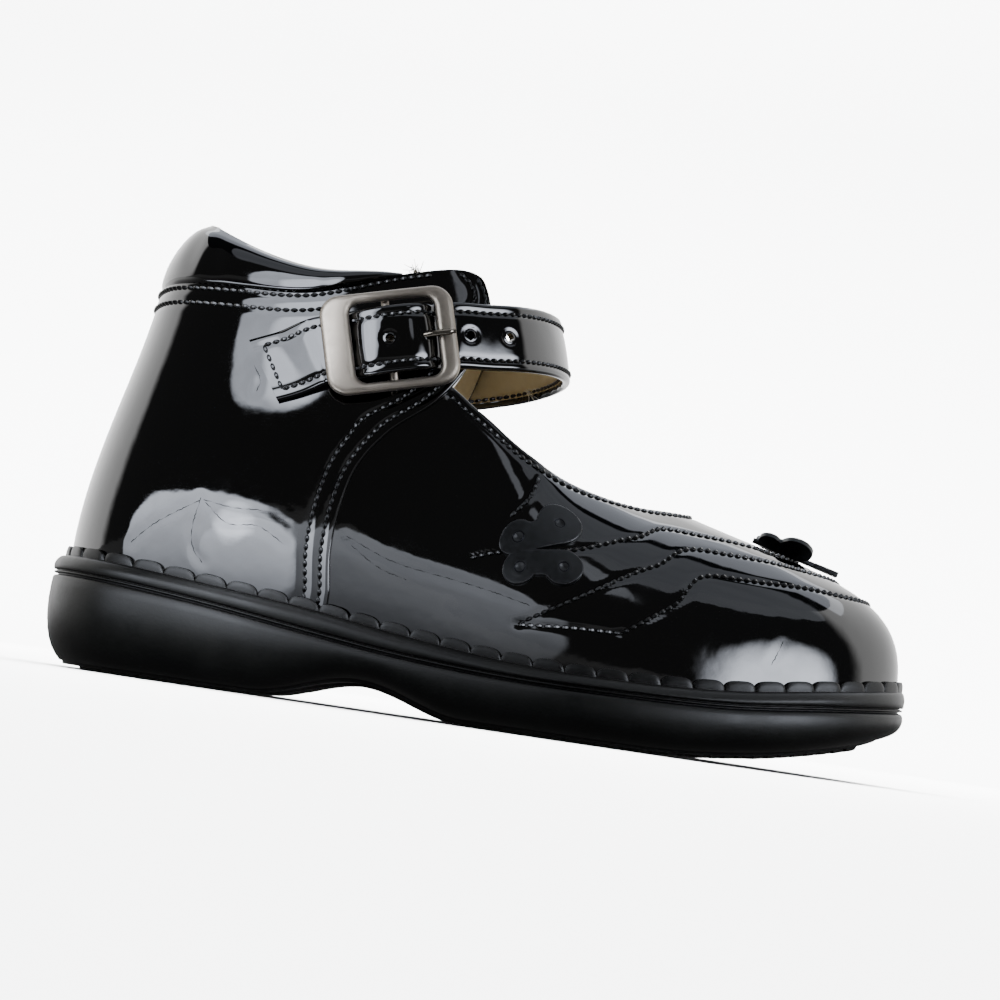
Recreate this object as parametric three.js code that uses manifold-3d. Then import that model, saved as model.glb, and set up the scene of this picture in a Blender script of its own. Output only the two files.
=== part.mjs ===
// Toddler's mary jane shoe, right foot: a patent upper on a moulded sole, with a padded
// collar, an instep strap in a centre-bar buckle and a small leather butterfly on the vamp.
// Millimetres. +X is the toe, +Y the medial (inner) side of the foot, +Z up.
import * as THREE from 'three';
import { mergeVertices } from 'three/addons/utils/BufferGeometryUtils.js';
import Module from 'manifold-3d';

const wasm = await Module();
wasm.setup();

// ---------------------------------------------------------------- driving dimensions
const GAP = 0.3; // clearance between pieces that touch
const MEDIAL = 1;
const LATERAL = -1;

const HEEL_CENTRE_X = 27; // the heel's curve fans about this point
const TOE_CENTRE_X = 98; // and the toe's about this one
const TOE_SWING = 2.4; // how far the toe's tip is drawn to the medial side
const SWING_START_X = 60;
const TOE_X = 152;

const VAMP_WALL = 1.7; // vamp leather and lining, from the last's surface inwards
const QUARTER_INNER = 1.9; // the quarter's lining lies this far inside the last's surface
const QUARTER_PROUD = 0.9; // and its folded leather stands this far outside it
const LAP_END_X = 60; // forward of the lap there is only the vamp's leather
const LAP_FADE = 6;

const SOLE_MARGIN = 3.7; // the sole's edge beyond the upper, at the sides and heel
const TOE_MARGIN = 1.6; // and at the toe
const TREAD_PROUD = 1.0; // the tread plate stands below the side wall
const SEAT = 1.8; // depth of the seat that the upper stands in, below the lip
const ARCH_HEIGHT = 4.05;
const ARCH_START_X = 39;
const ARCH_END_X = 76;
const SPRING_START_X = 104;
const TOE_SPRING = 8;
const SPRING_POWER = 1.9;

const INSOLE_THICK = 2.2;
const WELT_THICK = 1.1;
const WELT_HEIGHT = 2.0;

const STRAP = {
  width: 11.5, thick: 1.5, edge: 0.35, slant: 0.18, holeRadius: 0.8, holePitch: 7.3,
};

// The buckle's frame, its bars named from the heel forward. Heights are above the quarter.
const BUCKLE = {
  x: 54.3, z: 60.3, tilt: 15.4, length: 22.4, height: 17, thick: 1.6, corner: 3.2, bevel: 0.3,
  rearBar: 4.9, frontBar: 3.1, sideBar: 1.7, windowCorner: 2.2, bottom: 4.05,
};
const AXLE = { radius: 0.7, height: 2.9, lug: 1.5, play: 0.25 };
const PRONG = {
  radius: 0.55, reach: 11, clearance: 0.35, loopFrom: -50, loopTo: -270, loopStep: 27.5,
};
const TAB = {
  length: 11, width: 9, layer: 0.7, slot: 3, lift: 0.25, foldUnder: 3.4, foldOver: 4.4, sweep: 105,
};

// The butterfly that sits on the vamp's ridge.
const BUTTERFLY = {
  x: 129.5, tilt: 14.5, lift: 0.75, thick: 0.9, body: 1.8, tail: 7.6, feelers: 8.6, slit: 4.5,
  slitHalf: 0.2, chamfer: 0.3, wingTilt: 27, wingRoot: 1.5,
};

// The sole's heights along its length: the groove round the side wall and the lip above it.
const SOLE_HEIGHTS = [
  { x: 0, groove: 14.9, lip: 18.3 },
  { x: 12, groove: 14.3, lip: 17.8 },
  { x: 30, groove: 12.6, lip: 16.3 },
  { x: 48, groove: 10.4, lip: 14.6 },
  { x: 65, groove: 8.6, lip: 12.4 },
  { x: 83, groove: 7.6, lip: 10.6 },
  { x: 100, groove: 7.6, lip: 10.3 },
  { x: 118, groove: 8.3, lip: 11.2 },
  { x: 135, groove: 10.3, lip: 13.6 },
  { x: 152, groove: 12.3, lip: 16.2 },
];

// The last, a row for each section from the heel's back to the toe's tip. A section rises
// from the foot line (x; outer and inner are the half widths on the two sides) to the top line
// (topX, topHalf, topZ). rise and bulge shape its lower part, reach, drop and swell its upper.
const LAST = [
  { x: 4.2, outer: 0, inner: 0, topX: 12.3, topHalf: 0, topZ: 66.7,
    rise: 0.35, bulge: 0.5, reach: 0.1, drop: 0.29, swell: 0.5 },
  { x: 6.9, outer: 12.0, inner: 12.0, topX: 14.5, topHalf: 11.7, topZ: 66.8,
    rise: 0.35, bulge: 0.9, reach: 0.1, drop: 0.3, swell: 0.8 },
  { x: 14.5, outer: 19.3, inner: 19.2, topX: 20.4, topHalf: 18.8, topZ: 66.9,
    rise: 0.34, bulge: 1.6, reach: 0.1, drop: 0.32, swell: 1.4 },
  { x: 26.5, outer: 22.0, inner: 21.8, topX: 30.5, topHalf: 21.5, topZ: 67.1,
    rise: 0.33, bulge: 2.2, reach: 0.05, drop: 0.33, swell: 2.0 },
  { x: 38.5, outer: 22.0, inner: 21.4, topX: 40.5, topHalf: 22.0, topZ: 68.1,
    rise: 0.33, bulge: 2.3, reach: 0.0, drop: 0.33, swell: 2.1 },
  { x: 50.5, outer: 21.7, inner: 20.5, topX: 50.5, topHalf: 21.6, topZ: 71.6,
    rise: 0.33, bulge: 2.2, reach: 0.0, drop: 0.33, swell: 2.0 },
  { x: 63.5, outer: 22.9, inner: 21.3, topX: 60.5, topHalf: 20.9, topZ: 74.8,
    rise: 0.33, bulge: 2.0, reach: 0.0, drop: 0.33, swell: 1.6 },
  { x: 76.5, outer: 25.5, inner: 24.4, topX: 69.3, topHalf: 19.9, topZ: 73.6,
    rise: 0.35, bulge: 1.7, reach: 0.05, drop: 0.33, swell: 1.0 },
  { x: 89.5, outer: 27.8, inner: 27.3, topX: 75.6, topHalf: 18.9, topZ: 60.5,
    rise: 0.4, bulge: 1.6, reach: 0.15, drop: 0.3, swell: 0.6 },
  { x: 102.5, outer: 28.5, inner: 28.6, topX: 82, topHalf: 17.3, topZ: 48.5,
    rise: 0.5, bulge: 1.6, reach: 0.3, drop: 0.26, swell: 0.6 },
  { x: 115.2, outer: 27.6, inner: 27.8, topX: 89.5, topHalf: 15.6, topZ: 43.2,
    rise: 0.56, bulge: 1.4, reach: 0.44, drop: 0.22, swell: 0.5 },
  { x: 127.5, outer: 25.1, inner: 25.2, topX: 97.5, topHalf: 13.3, topZ: 40.9,
    rise: 0.6, bulge: 1.2, reach: 0.55, drop: 0.2, swell: 0.3 },
  { x: 137.5, outer: 21.1, inner: 21.2, topX: 103.5, topHalf: 10.2, topZ: 40.9,
    rise: 0.63, bulge: 1.1, reach: 0.62, drop: 0.22, swell: 0 },
  { x: 144.8, outer: 15.8, inner: 15.8, topX: 106.9, topHalf: 6.8, topZ: 41.2,
    rise: 0.64, bulge: 1.0, reach: 0.66, drop: 0.26, swell: 0 },
  { x: 149.3, outer: 9.0, inner: 9.0, topX: 108.3, topHalf: 3.4, topZ: 41.5,
    rise: 0.68, bulge: 1.2, reach: 0.69, drop: 0.3, swell: 0 },
  { x: 150.7, outer: 0, inner: 0, topX: 108.7, topHalf: 0, topZ: 41.6,
    rise: 0.69, bulge: 1.2, reach: 0.7, drop: 0.31, swell: 0 },
];
const HALF = LAST.length - 1; // sections between the heel's back and the toe's tip
const ROUND = 2 * HALF; // sections all the way round

// The quarter's front edge, from the sole up to the rounded lobe that carries the buckle.
const QUARTER_EDGE = [
  { x: 50.6, z: 18 }, { x: 49.8, z: 25 }, { x: 50.3, z: 32.3 }, { x: 52.2, z: 39.5 },
  { x: 56.8, z: 46.2 }, { x: 63.4, z: 52 }, { x: 67.2, z: 57.5 }, { x: 69.4, z: 64 },
  { x: 70.6, z: 69.5 },
];
// The vamp's top edge, from under the quarter to the throat.
const VAMP_EDGE = [
  { x: 60, z: 58.6 }, { x: 66.7, z: 54.8 }, { x: 71.3, z: 51.7 }, { x: 77.2, z: 47.8 },
  { x: 83, z: 44.6 }, { x: 87.5, z: 42.7 }, { x: 92.5, z: 41.5 },
];
const VAMP_UNDERLAP = 0.8; // sections of vamp hidden under the quarter
const QUARTER_GRID = { columns: 42, rows: 9 };
const VAMP_GRID = { columns: 52, rows: 9 };

// The padded collar from the heel's back forward, on each side: its height and thickness, and
// how far it leans in over the foot, in degrees.
const COLLAR = [
  { u: 0, height: 13.8, thick: 7.4, lean: 22 },
  { u: 1, height: 13.2, thick: 7.4, lean: 19 },
  { u: 2, height: 11.2, thick: 7.2, lean: 13 },
  { u: 3, height: 7.3, thick: 6.4, lean: 7 },
  { u: 4, height: 4.5, thick: 5.2, lean: 3 },
  { u: 5, height: 1.7, thick: 3.4, lean: 0 },
  { u: 5.4, height: 1.1, thick: 2.6, lean: 0 },
];
const COLLAR_PROUD = 2.2; // the pad's swell outside the last
const COLLAR_SECTION = [
  { rise: 0, width: 0.5 }, { rise: 0.14, width: 0.84 }, { rise: 0.38, width: 1 },
  { rise: 0.66, width: 0.94 }, { rise: 0.88, width: 0.66 }, { rise: 1, width: 0.2 },
];

// The strap's middle line where it lies on the shoe (x, z and its height above the quarter),
// where it passes through the buckle (along the buckle and above the quarter) and where it
// spans the instep. The lateral end is free and is cut on a slant.
const STRAP_END = [{ x: 34.3, z: 52.8, lift: 1.1 }, { x: 38.5, z: 54.7, lift: 1.4 }];
const STRAP_IN_BUCKLE = [
  { along: -11.6, lift: 2.85 }, { along: -9, lift: 2.85 }, { along: -6.6, lift: 2.95 },
  { along: -3.6, lift: 4.9 }, { along: -1, lift: 5.7 }, { along: 1.6, lift: 5.9 },
  { along: 3.8, lift: 5.8 }, { along: 5.5, lift: 5.2 }, { along: 6.7, lift: 4.05 },
  { along: 7.8, lift: 3.0 }, { along: 9.4, lift: 2.75 }, { along: 11.4, lift: 2.6 },
];
const PRONG_HOLE_ROW = 8; // the row above where the prong comes up through the strap
const STRAP_SPAN = [
  { x: 70.8, y: -22.7, z: 64.4 }, { x: 76.0, y: -19.6, z: 65.4 }, { x: 80.3, y: -13.8, z: 66.3 },
  { x: 82.8, y: -7, z: 66.8 }, { x: 83.6, y: 0.3, z: 67 }, { x: 82.8, y: 7.6, z: 66.8 },
  { x: 80.3, y: 14.4, z: 66.2 }, { x: 76.0, y: 20.1, z: 65.2 }, { x: 70.6, y: 22.6, z: 63.9 },
];
const STRAP_ROOT = [
  { x: 63, z: 61.9, lift: 1.15 }, { x: 53, z: 59, lift: 1.1 }, { x: 42, z: 54.8, lift: 1.1 },
];
const SPAN_LEAN = 0.3; // the strap leans back over the instep, this much per unit of height

// ---------------------------------------------------------------- curves and solids
const cubed = (t) => t * t * t;
const clamp = (t, low, high) => Math.min(high, Math.max(low, t));
const lerp = (from, to, t) => from + (to - from) * t;

// A smooth line through a table's rows: value of column key where column by reaches at.
function along(rows, by, key, at) {
  const last = rows.length - 1;
  let i = 0;
  while (i < last - 1 && at > rows[i + 1][by]) i++;
  const span = (a, b) => (rows[b][key] - rows[a][key]) / (rows[b][by] - rows[a][by]);
  const slope = (j) => span(Math.max(j - 1, 0), Math.min(j + 1, last));
  const width = rows[i + 1][by] - rows[i][by];
  const t = clamp((at - rows[i][by]) / width, 0, 1);
  return (1 + 2 * t) * (1 - t) ** 2 * rows[i][key] + t * (1 - t) ** 2 * width * slope(i)
    + t * t * (3 - 2 * t) * rows[i + 1][key] - t * t * (1 - t) * width * slope(i + 1);
}

// A closed curve of even curvature through the points, one unit of u for each.
function closedSpline(points) {
  const count = points.length;
  const hold = points.map((point) => point.clone());
  const at = (i) => hold[((i % count) + count) % count];
  for (let pass = 0; pass < 24; pass++) {
    for (let i = 0; i < count; i++) {
      const pull = at(i - 1).clone().add(at(i + 1)).addScaledVector(at(i), 4).divideScalar(6);
      at(i).add(points[i]).sub(pull);
    }
  }
  return (u) => {
    const i = Math.floor(u);
    const t = u - i;
    return new THREE.Vector3()
      .addScaledVector(at(i - 1), cubed(1 - t) / 6)
      .addScaledVector(at(i), (3 * cubed(t) - 6 * t * t + 4) / 6)
      .addScaledVector(at(i + 1), (-3 * cubed(t) + 3 * t * t + 3 * t + 1) / 6)
      .addScaledVector(at(i + 2), cubed(t) / 6);
  };
}

// A solid through a row of loops with equal counts. Both ends are closed by joining each
// point to its partner across the loop, unless the row of loops itself closes into a ring.
function loft(loops, ring = false) {
  const size = loops[0].length;
  const index = [];
  const quad = (a, b, c, d) => index.push(a, b, c, a, c, d);
  const steps = ring ? loops.length : loops.length - 1;
  for (let i = 0; i < steps; i++) {
    const here = i * size;
    const next = ((i + 1) % loops.length) * size;
    for (let j = 0; j < size; j++) {
      const k = (j + 1) % size;
      quad(here + j, here + k, next + k, next + j);
    }
  }
  if (!ring) {
    const end = (loops.length - 1) * size;
    for (let j = 0; j < size / 2 - 1; j++) {
      quad(j, size - 1 - j, size - 2 - j, j + 1);
      quad(end + j, end + j + 1, end + size - 2 - j, end + size - 1 - j);
    }
  }
  const points = loops.flat();
  const volume = index.reduce((sum, _, n) => (n % 3 ? sum
    : sum + points[index[n]].dot(points[index[n + 1]].clone().cross(points[index[n + 2]]))), 0);
  if (volume < 0) index.reverse();
  const geometry = new THREE.BufferGeometry().setFromPoints(points);
  geometry.setIndex(index);
  return geometry;
}

// Any closed geometry as a solid for cutting and joining, and back again.
function toSolid(geometry) {
  const bare = geometry.clone();
  bare.deleteAttribute('normal');
  bare.deleteAttribute('uv');
  const merged = mergeVertices(bare, 1e-4);
  return new wasm.Manifold(new wasm.Mesh({
    numProp: 3,
    vertProperties: new Float32Array(merged.attributes.position.array),
    triVerts: new Uint32Array(merged.index.array),
  }));
}
function toGeometry(solid) {
  const mesh = solid.getMesh();
  const geometry = new THREE.BufferGeometry();
  geometry.setAttribute('position', new THREE.BufferAttribute(mesh.vertProperties, 3));
  geometry.setIndex(new THREE.BufferAttribute(mesh.triVerts, 1));
  return geometry;
}

// ---------------------------------------------------------------- the sole's heights
const lipAt = (x) => along(SOLE_HEIGHTS, 'x', 'lip', x);
const grooveAt = (x) => along(SOLE_HEIGHTS, 'x', 'groove', x);
const seatAt = (x) => lipAt(x) - SEAT;
function baseAt(x) {
  const arch = clamp((x - ARCH_START_X) / (ARCH_END_X - ARCH_START_X), 0, 1);
  const spring = Math.max(0, (x - SPRING_START_X) / (TOE_X - SPRING_START_X));
  return ARCH_HEIGHT * Math.sin(Math.PI * arch) ** 2 + TOE_SPRING * spring ** SPRING_POWER;
}

// ---------------------------------------------------------------- the last
// u counts sections from the heel's back round the lateral side to the toe and back along the
// medial side; v runs from the foot line (0) to the top line (1).
const swingAt = (x) => TOE_SWING * Math.max(0, (x - SWING_START_X) / (TOE_X - SWING_START_X)) ** 2;

function outwardAt(x, y) {
  const spineX = clamp(x, HEEL_CENTRE_X, TOE_CENTRE_X);
  return new THREE.Vector3(x - spineX, y - swingAt(spineX), 0).normalize();
}

function sectionPoints(k) {
  const side = k <= HALF ? LATERAL : MEDIAL;
  const row = LAST[k <= HALF ? k : ROUND - k];
  const half = side === LATERAL ? row.outer : row.inner;
  const foot = new THREE.Vector3(row.x, swingAt(row.x) + side * half, seatAt(row.x) + GAP);
  const top = new THREE.Vector3(row.topX, swingAt(row.topX) + side * row.topHalf, row.topZ);
  const out = outwardAt(foot.x, foot.y);
  const height = top.z - foot.z;
  const low = foot.clone().addScaledVector(out, row.bulge);
  low.z += row.rise * height;
  const high = top.clone().lerp(foot, row.reach).addScaledVector(out, row.swell);
  high.z = top.z - row.drop * height;
  return [foot, low, high, top];
}

const sections = Array.from({ length: ROUND }, (_, k) => sectionPoints(k));
const guides = [0, 1, 2, 3].map((g) => closedSpline(sections.map((section) => section[g])));

function lastPoint(u, v) {
  const w = 1 - v;
  const shares = [w * w * w, 3 * w * w * v, 3 * w * v * v, v * v * v];
  const point = new THREE.Vector3();
  guides.forEach((guide, g) => point.addScaledVector(guide(u), shares[g]));
  return point;
}

function lastNormal(u, v) {
  const step = 1e-3;
  const alongU = lastPoint(u + step, v).sub(lastPoint(u - step, v));
  const alongV = lastPoint(u, v + step).sub(lastPoint(u, v - step));
  return alongU.cross(alongV).normalize();
}

const offLast = (u, v, out) => lastPoint(u, v).addScaledVector(lastNormal(u, v), out);

// Where on the last a point seen from the side lies: u and v for its x and z.
function locate(x, z, side) {
  const turn = (u) => (side === LATERAL ? u : ROUND - u);
  let best = { u: 0, v: 0, far: Infinity };
  for (let u = 1; u < HALF - 1; u += 0.5) {
    for (let v = 0; v <= 1; v += 0.1) {
      const point = lastPoint(turn(u), v);
      const far = Math.hypot(point.x - x, point.z - z);
      if (far < best.far) best = { u, v, far };
    }
  }
  let { u, v } = best;
  const step = 1e-3;
  for (let pass = 0; pass < 8; pass++) {
    const here = lastPoint(turn(u), v);
    const du = lastPoint(turn(u + step), v).sub(here).divideScalar(step);
    const dv = lastPoint(turn(u), v + step).sub(here).divideScalar(step);
    const area = du.x * dv.z - du.z * dv.x;
    const gapX = x - here.x;
    const gapZ = z - here.z;
    u += (gapX * dv.z - gapZ * dv.x) / area;
    v += (gapZ * du.x - gapX * du.z) / area;
  }
  return { u: turn(u), v, fromHeel: u };
}

// ---------------------------------------------------------------- upper
// A panel of the upper as a thick sheet: place(a, b) gives u and v across and up the panel.
function panel(columns, rows, place, outer, inner) {
  const loops = [];
  for (let i = 0; i <= columns; i++) {
    const spots = Array.from({ length: rows + 1 }, (_, j) => place(i / columns, j / rows));
    const outside = spots.map(({ u, v }) => offLast(u, v, outer));
    const inside = spots.map(({ u, v }) => offLast(u, v, -inner));
    loops.push([...outside, ...inside.reverse()]);
  }
  return loft(loops);
}

// A side's edge as a table of u against v, from its points seen from the side.
function edgeTable(points, side) {
  return points.map(({ x, z }) => {
    const spot = locate(x, z, side);
    return { u: spot.fromHeel, v: spot.v };
  });
}

function makeUpper() {
  const fronts = { [LATERAL]: edgeTable(QUARTER_EDGE, LATERAL),
    [MEDIAL]: edgeTable(QUARTER_EDGE, MEDIAL) };
  const front = (v, side) => {
    const rows = fronts[side];
    const overTop = rows[rows.length - 1].v;
    const at = clamp(v, rows[0].v, overTop);
    return along(rows, 'v', 'u', at);
  };
  const quarter = panel(QUARTER_GRID.columns, QUARTER_GRID.rows, (a, b) => ({
    u: lerp(ROUND - front(b, MEDIAL), ROUND + front(b, LATERAL), a), v: b,
  }), QUARTER_PROUD, QUARTER_INNER);

  const brims = { [LATERAL]: edgeTable(VAMP_EDGE, LATERAL),
    [MEDIAL]: edgeTable(VAMP_EDGE, MEDIAL) };
  const throatStart = 11; // from here round the toe the throat is the last's own top line
  for (const side of [LATERAL, MEDIAL]) brims[side].push({ u: throatStart, v: 1 });
  const brim = (u) => {
    const side = u <= HALF ? LATERAL : MEDIAL;
    const fromHeel = side === LATERAL ? u : ROUND - u;
    return fromHeel >= throatStart ? 1 : along(brims[side], 'u', 'v', fromHeel);
  };
  const rear = (v, side) => front(v * brims[side][0].v, side) - VAMP_UNDERLAP;
  const vamp = panel(VAMP_GRID.columns, VAMP_GRID.rows, (a, b) => {
    const u = lerp(rear(b, LATERAL), ROUND - rear(b, MEDIAL), a);
    return { u, v: b * brim(u) };
  }, 0, VAMP_WALL);
  return toGeometry(toSolid(quarter).add(toSolid(vamp)));
}

// ---------------------------------------------------------------- sole, welt and insole
const RING_POINTS = 90;
const ringAt = (count) => Array.from({ length: count }, (_, i) => ((i + 0.5) * ROUND) / count);

function marginAt(x) {
  const toward = clamp((x - TOE_CENTRE_X) / (TOE_X - TOE_CENTRE_X), 0, 1);
  return lerp(SOLE_MARGIN, TOE_MARGIN, toward * toward);
}

// A point a given way outside (or inside, if negative) of the upper's foot line, in plan.
function besideFoot(u, out) {
  const foot = guides[0](u);
  const normal = guides[0](u + 1e-3).sub(guides[0](u - 1e-3)).cross(new THREE.Vector3(0, 0, 1));
  normal.z = 0;
  return foot.addScaledVector(normal.normalize(), out);
}

// How far the upper's skin stands outside the last: the quarter's leather laps over the vamp's.
const proudAt = (x) => QUARTER_PROUD * clamp((LAP_END_X - x) / LAP_FADE, 0, 1);

// The sole's rings from the seat inside the lip, over it, down the wall to the tread.
// share runs from the seat's wall (0) to the edge (1); inset is millimetres in from there.
const SOLE_RINGS = [
  { share: 0, inset: 0, z: (x) => seatAt(x) },
  { share: 0, inset: -0.3, z: (x) => lipAt(x) - 0.3 },
  { share: 0.4, inset: 0, z: (x) => lipAt(x) },
  { share: 0.8, inset: 0, z: (x) => lipAt(x) - 0.6 },
  { share: 0.96, inset: 0, z: (x) => lerp(grooveAt(x), lipAt(x), 0.45) },
  { share: 1, inset: 0.6, z: (x) => grooveAt(x) + 0.5 },
  { share: 1, inset: 0.9, z: (x) => grooveAt(x) },
  { share: 1, inset: 0.3, z: (x) => grooveAt(x) - 0.7 },
  { share: 1, inset: 0, z: (x) => lerp(baseAt(x), grooveAt(x), 0.72) },
  { share: 1, inset: 0.5, z: (x) => lerp(baseAt(x), grooveAt(x), 0.42) },
  { share: 1, inset: 1.9, z: (x) => lerp(baseAt(x), grooveAt(x), 0.16) },
  { share: 1, inset: 4.0, z: (x) => baseAt(x) + 0.1 },
  { share: 1, inset: 4.2, z: (x) => baseAt(x) - TREAD_PROUD + 0.3 },
  { share: 1, inset: 4.6, z: (x) => baseAt(x) - TREAD_PROUD },
];

function makeOutsole() {
  return loft(SOLE_RINGS.map((ring) => ringAt(RING_POINTS).map((u) => {
    const { x } = guides[0](u);
    const point = besideFoot(u, lerp(proudAt(x) + GAP, marginAt(x), ring.share) - ring.inset);
    point.z = ring.z(x);
    return point;
  })));
}

function heightOnLast(u, z) {
  let low = 0;
  let high = 0.5;
  for (let pass = 0; pass < 30; pass++) {
    const mid = (low + high) / 2;
    if (lastPoint(u, mid).z < z) low = mid;
    else high = mid;
  }
  return low;
}

function makeWelt() {
  return loft(ringAt(RING_POINTS).map((u) => {
    const { x } = guides[0](u);
    const lip = lipAt(x);
    const bottom = heightOnLast(u, lip + GAP);
    const top = heightOnLast(u, lip + GAP + WELT_HEIGHT);
    const skin = proudAt(x) + GAP;
    const corners = [offLast(u, bottom, skin), offLast(u, bottom, skin + WELT_THICK),
      offLast(u, top, skin + WELT_THICK), offLast(u, top, skin)];
    corners[0].z = lip + GAP;
    corners[1].z = lip + GAP;
    return corners;
  }), true);
}

function makeInsole() {
  const inset = QUARTER_INNER + 2 * GAP;
  const rings = [
    { inset: inset + 0.4, rise: GAP }, { inset, rise: GAP + 0.5 },
    { inset, rise: INSOLE_THICK - 0.3 }, { inset: inset + 0.4, rise: INSOLE_THICK },
  ];
  return loft(rings.map((ring) => ringAt(ROUND * 2).map((u) => {
    const point = besideFoot(u, -ring.inset);
    point.z = seatAt(guides[0](u).x) + ring.rise;
    return point;
  })));
}

// ---------------------------------------------------------------- collar
function makeCollar() {
  const reach = COLLAR[COLLAR.length - 1].u;
  const stations = 26;
  return loft(Array.from({ length: stations + 1 }, (_, i) => {
    const u = lerp(-reach, reach, i / stations);
    const at = (key) => along(COLLAR, 'u', key, Math.abs(u));
    const round = (u + ROUND) % ROUND;
    const base = lastPoint(round, 1);
    const out = lastNormal(round, 1).setZ(0).normalize();
    const lean = THREE.MathUtils.degToRad(at('lean'));
    const up = new THREE.Vector3(0, 0, Math.cos(lean)).addScaledVector(out, -Math.sin(lean));
    const middle = Math.min(COLLAR_PROUD, at('thick') / 2 + 0.2) - at('thick') / 2;
    const side = (row, sign) => base.clone().addScaledVector(up, row.rise * at('height'))
      .addScaledVector(out, middle + (sign * row.width * at('thick')) / 2)
      .add(new THREE.Vector3(0, 0, GAP));
    return [...COLLAR_SECTION.map((row) => side(row, 1)),
      ...COLLAR_SECTION.map((row) => side(row, -1)).reverse()];
  }));
}

// ---------------------------------------------------------------- buckle
// The buckle's own axes: x forward along the strap, y up across it, z away from the quarter,
// with z = 0 on the quarter's skin.
function skinPoint(row, side) {
  const { u, v } = locate(row.x, row.z, side);
  return { point: offLast(u, v, QUARTER_PROUD + (row.lift ?? 0)), normal: lastNormal(u, v) };
}

function makeBuckleGroup() {
  const { point, normal } = skinPoint(BUCKLE, LATERAL);
  const tilt = THREE.MathUtils.degToRad(BUCKLE.tilt);
  const across = new THREE.Vector3(-Math.sin(tilt), 0, Math.cos(tilt));
  const forward = across.clone().cross(normal).normalize();
  const group = new THREE.Group();
  group.matrixAutoUpdate = false;
  group.matrix.makeBasis(forward, normal.clone().cross(forward), normal).setPosition(point);
  return group;
}
const buckleGroup = makeBuckleGroup();

function roundedRect(shape, left, right, low, high, radius) {
  const quarterTurn = Math.PI / 2;
  shape.absarc(right - radius, high - radius, radius, 0, quarterTurn);
  shape.absarc(left + radius, high - radius, radius, quarterTurn, 2 * quarterTurn);
  shape.absarc(left + radius, low + radius, radius, 2 * quarterTurn, 3 * quarterTurn);
  shape.absarc(right - radius, low + radius, radius, 3 * quarterTurn, 4 * quarterTurn);
  return shape;
}

function makeBuckleFrame() {
  const halfLength = BUCKLE.length / 2;
  const halfHeight = BUCKLE.height / 2;
  const { bevel } = BUCKLE;
  const outline = roundedRect(new THREE.Shape(), -halfLength + bevel, halfLength - bevel,
    -halfHeight + bevel, halfHeight - bevel, BUCKLE.corner);
  const windowTop = halfHeight - BUCKLE.sideBar + bevel;
  outline.holes.push(roundedRect(new THREE.Path(), -halfLength + BUCKLE.rearBar - bevel,
    halfLength - BUCKLE.frontBar + bevel, -windowTop, windowTop, BUCKLE.windowCorner));
  const frame = new THREE.ExtrudeGeometry(outline, {
    depth: BUCKLE.thick - 2 * bevel, bevelSize: bevel, bevelThickness: bevel, bevelSegments: 1,
    curveSegments: 4,
  });
  frame.translate(0, 0, BUCKLE.bottom + bevel);
  const axleHalf = halfHeight - BUCKLE.sideBar / 2;
  const axle = new THREE.CylinderGeometry(AXLE.radius, AXLE.radius, 2 * axleHalf, 12);
  axle.translate(0, 0, AXLE.height);
  const parts = [frame, axle];
  for (const sign of [-1, 1]) {
    const lugTop = BUCKLE.bottom + BUCKLE.thick / 2;
    const lugBottom = AXLE.height - AXLE.radius;
    const lug = new THREE.BoxGeometry(2 * AXLE.radius, AXLE.lug, lugTop - lugBottom);
    lug.translate(0, sign * axleHalf, (lugTop + lugBottom) / 2);
    parts.push(lug);
  }
  return toGeometry(parts.map(toSolid).reduce((whole, part) => whole.add(part)));
}

// The prong loops round the axle, comes up through the strap and lies on the front bar.
function prongTube(radius) {
  const loop = AXLE.radius + AXLE.play + PRONG.radius;
  const onBar = BUCKLE.bottom + BUCKLE.thick + PRONG.radius + AXLE.play;
  const points = [];
  for (let angle = PRONG.loopFrom; angle >= PRONG.loopTo; angle -= PRONG.loopStep) {
    const turn = THREE.MathUtils.degToRad(angle);
    points.push(new THREE.Vector3(loop * Math.cos(turn), 0, AXLE.height + loop * Math.sin(turn)));
  }
  const rise = onBar - AXLE.height - loop;
  for (const [share, lift] of [[0.25, 0.14], [0.5, 0.56], [0.7, 0.95], [0.86, 1], [1, 1]]) {
    points.push(new THREE.Vector3(share * PRONG.reach, 0, AXLE.height + loop + lift * rise));
  }
  const section = new THREE.Shape().absarc(0, 0, radius, 0, 2 * Math.PI);
  return new THREE.ExtrudeGeometry(section, {
    extrudePath: new THREE.CatmullRomCurve3(points), steps: 24, curveSegments: 6,
  });
}

// The tab is folded round the axle, slotted for the prong, and sewn to the quarter behind it.
function makeTab() {
  const profile = new THREE.Shape();
  const bore = AXLE.radius + AXLE.play;
  const loop = bore + TAB.layer;
  const sweep = THREE.MathUtils.degToRad(TAB.sweep);
  profile.moveTo(-TAB.length, TAB.lift);
  profile.lineTo(-TAB.foldUnder, TAB.lift);
  profile.absarc(0, AXLE.height, loop, -sweep, sweep);
  profile.lineTo(-TAB.foldOver, TAB.lift + 2 * TAB.layer);
  profile.lineTo(-TAB.length, TAB.lift + 2 * TAB.layer);
  profile.holes.push(new THREE.Path().absarc(0, AXLE.height, bore, 0, 2 * Math.PI));
  const strip = new THREE.ExtrudeGeometry(profile, {
    depth: TAB.width, bevelEnabled: false, curveSegments: 10,
  });
  strip.translate(0, 0, -TAB.width / 2);
  strip.rotateX(Math.PI / 2);
  const slot = new THREE.BoxGeometry(3 * loop, TAB.slot, 3 * loop);
  slot.translate(0, 0, AXLE.height);
  return toGeometry(toSolid(strip).subtract(toSolid(slot)));
}

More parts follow.
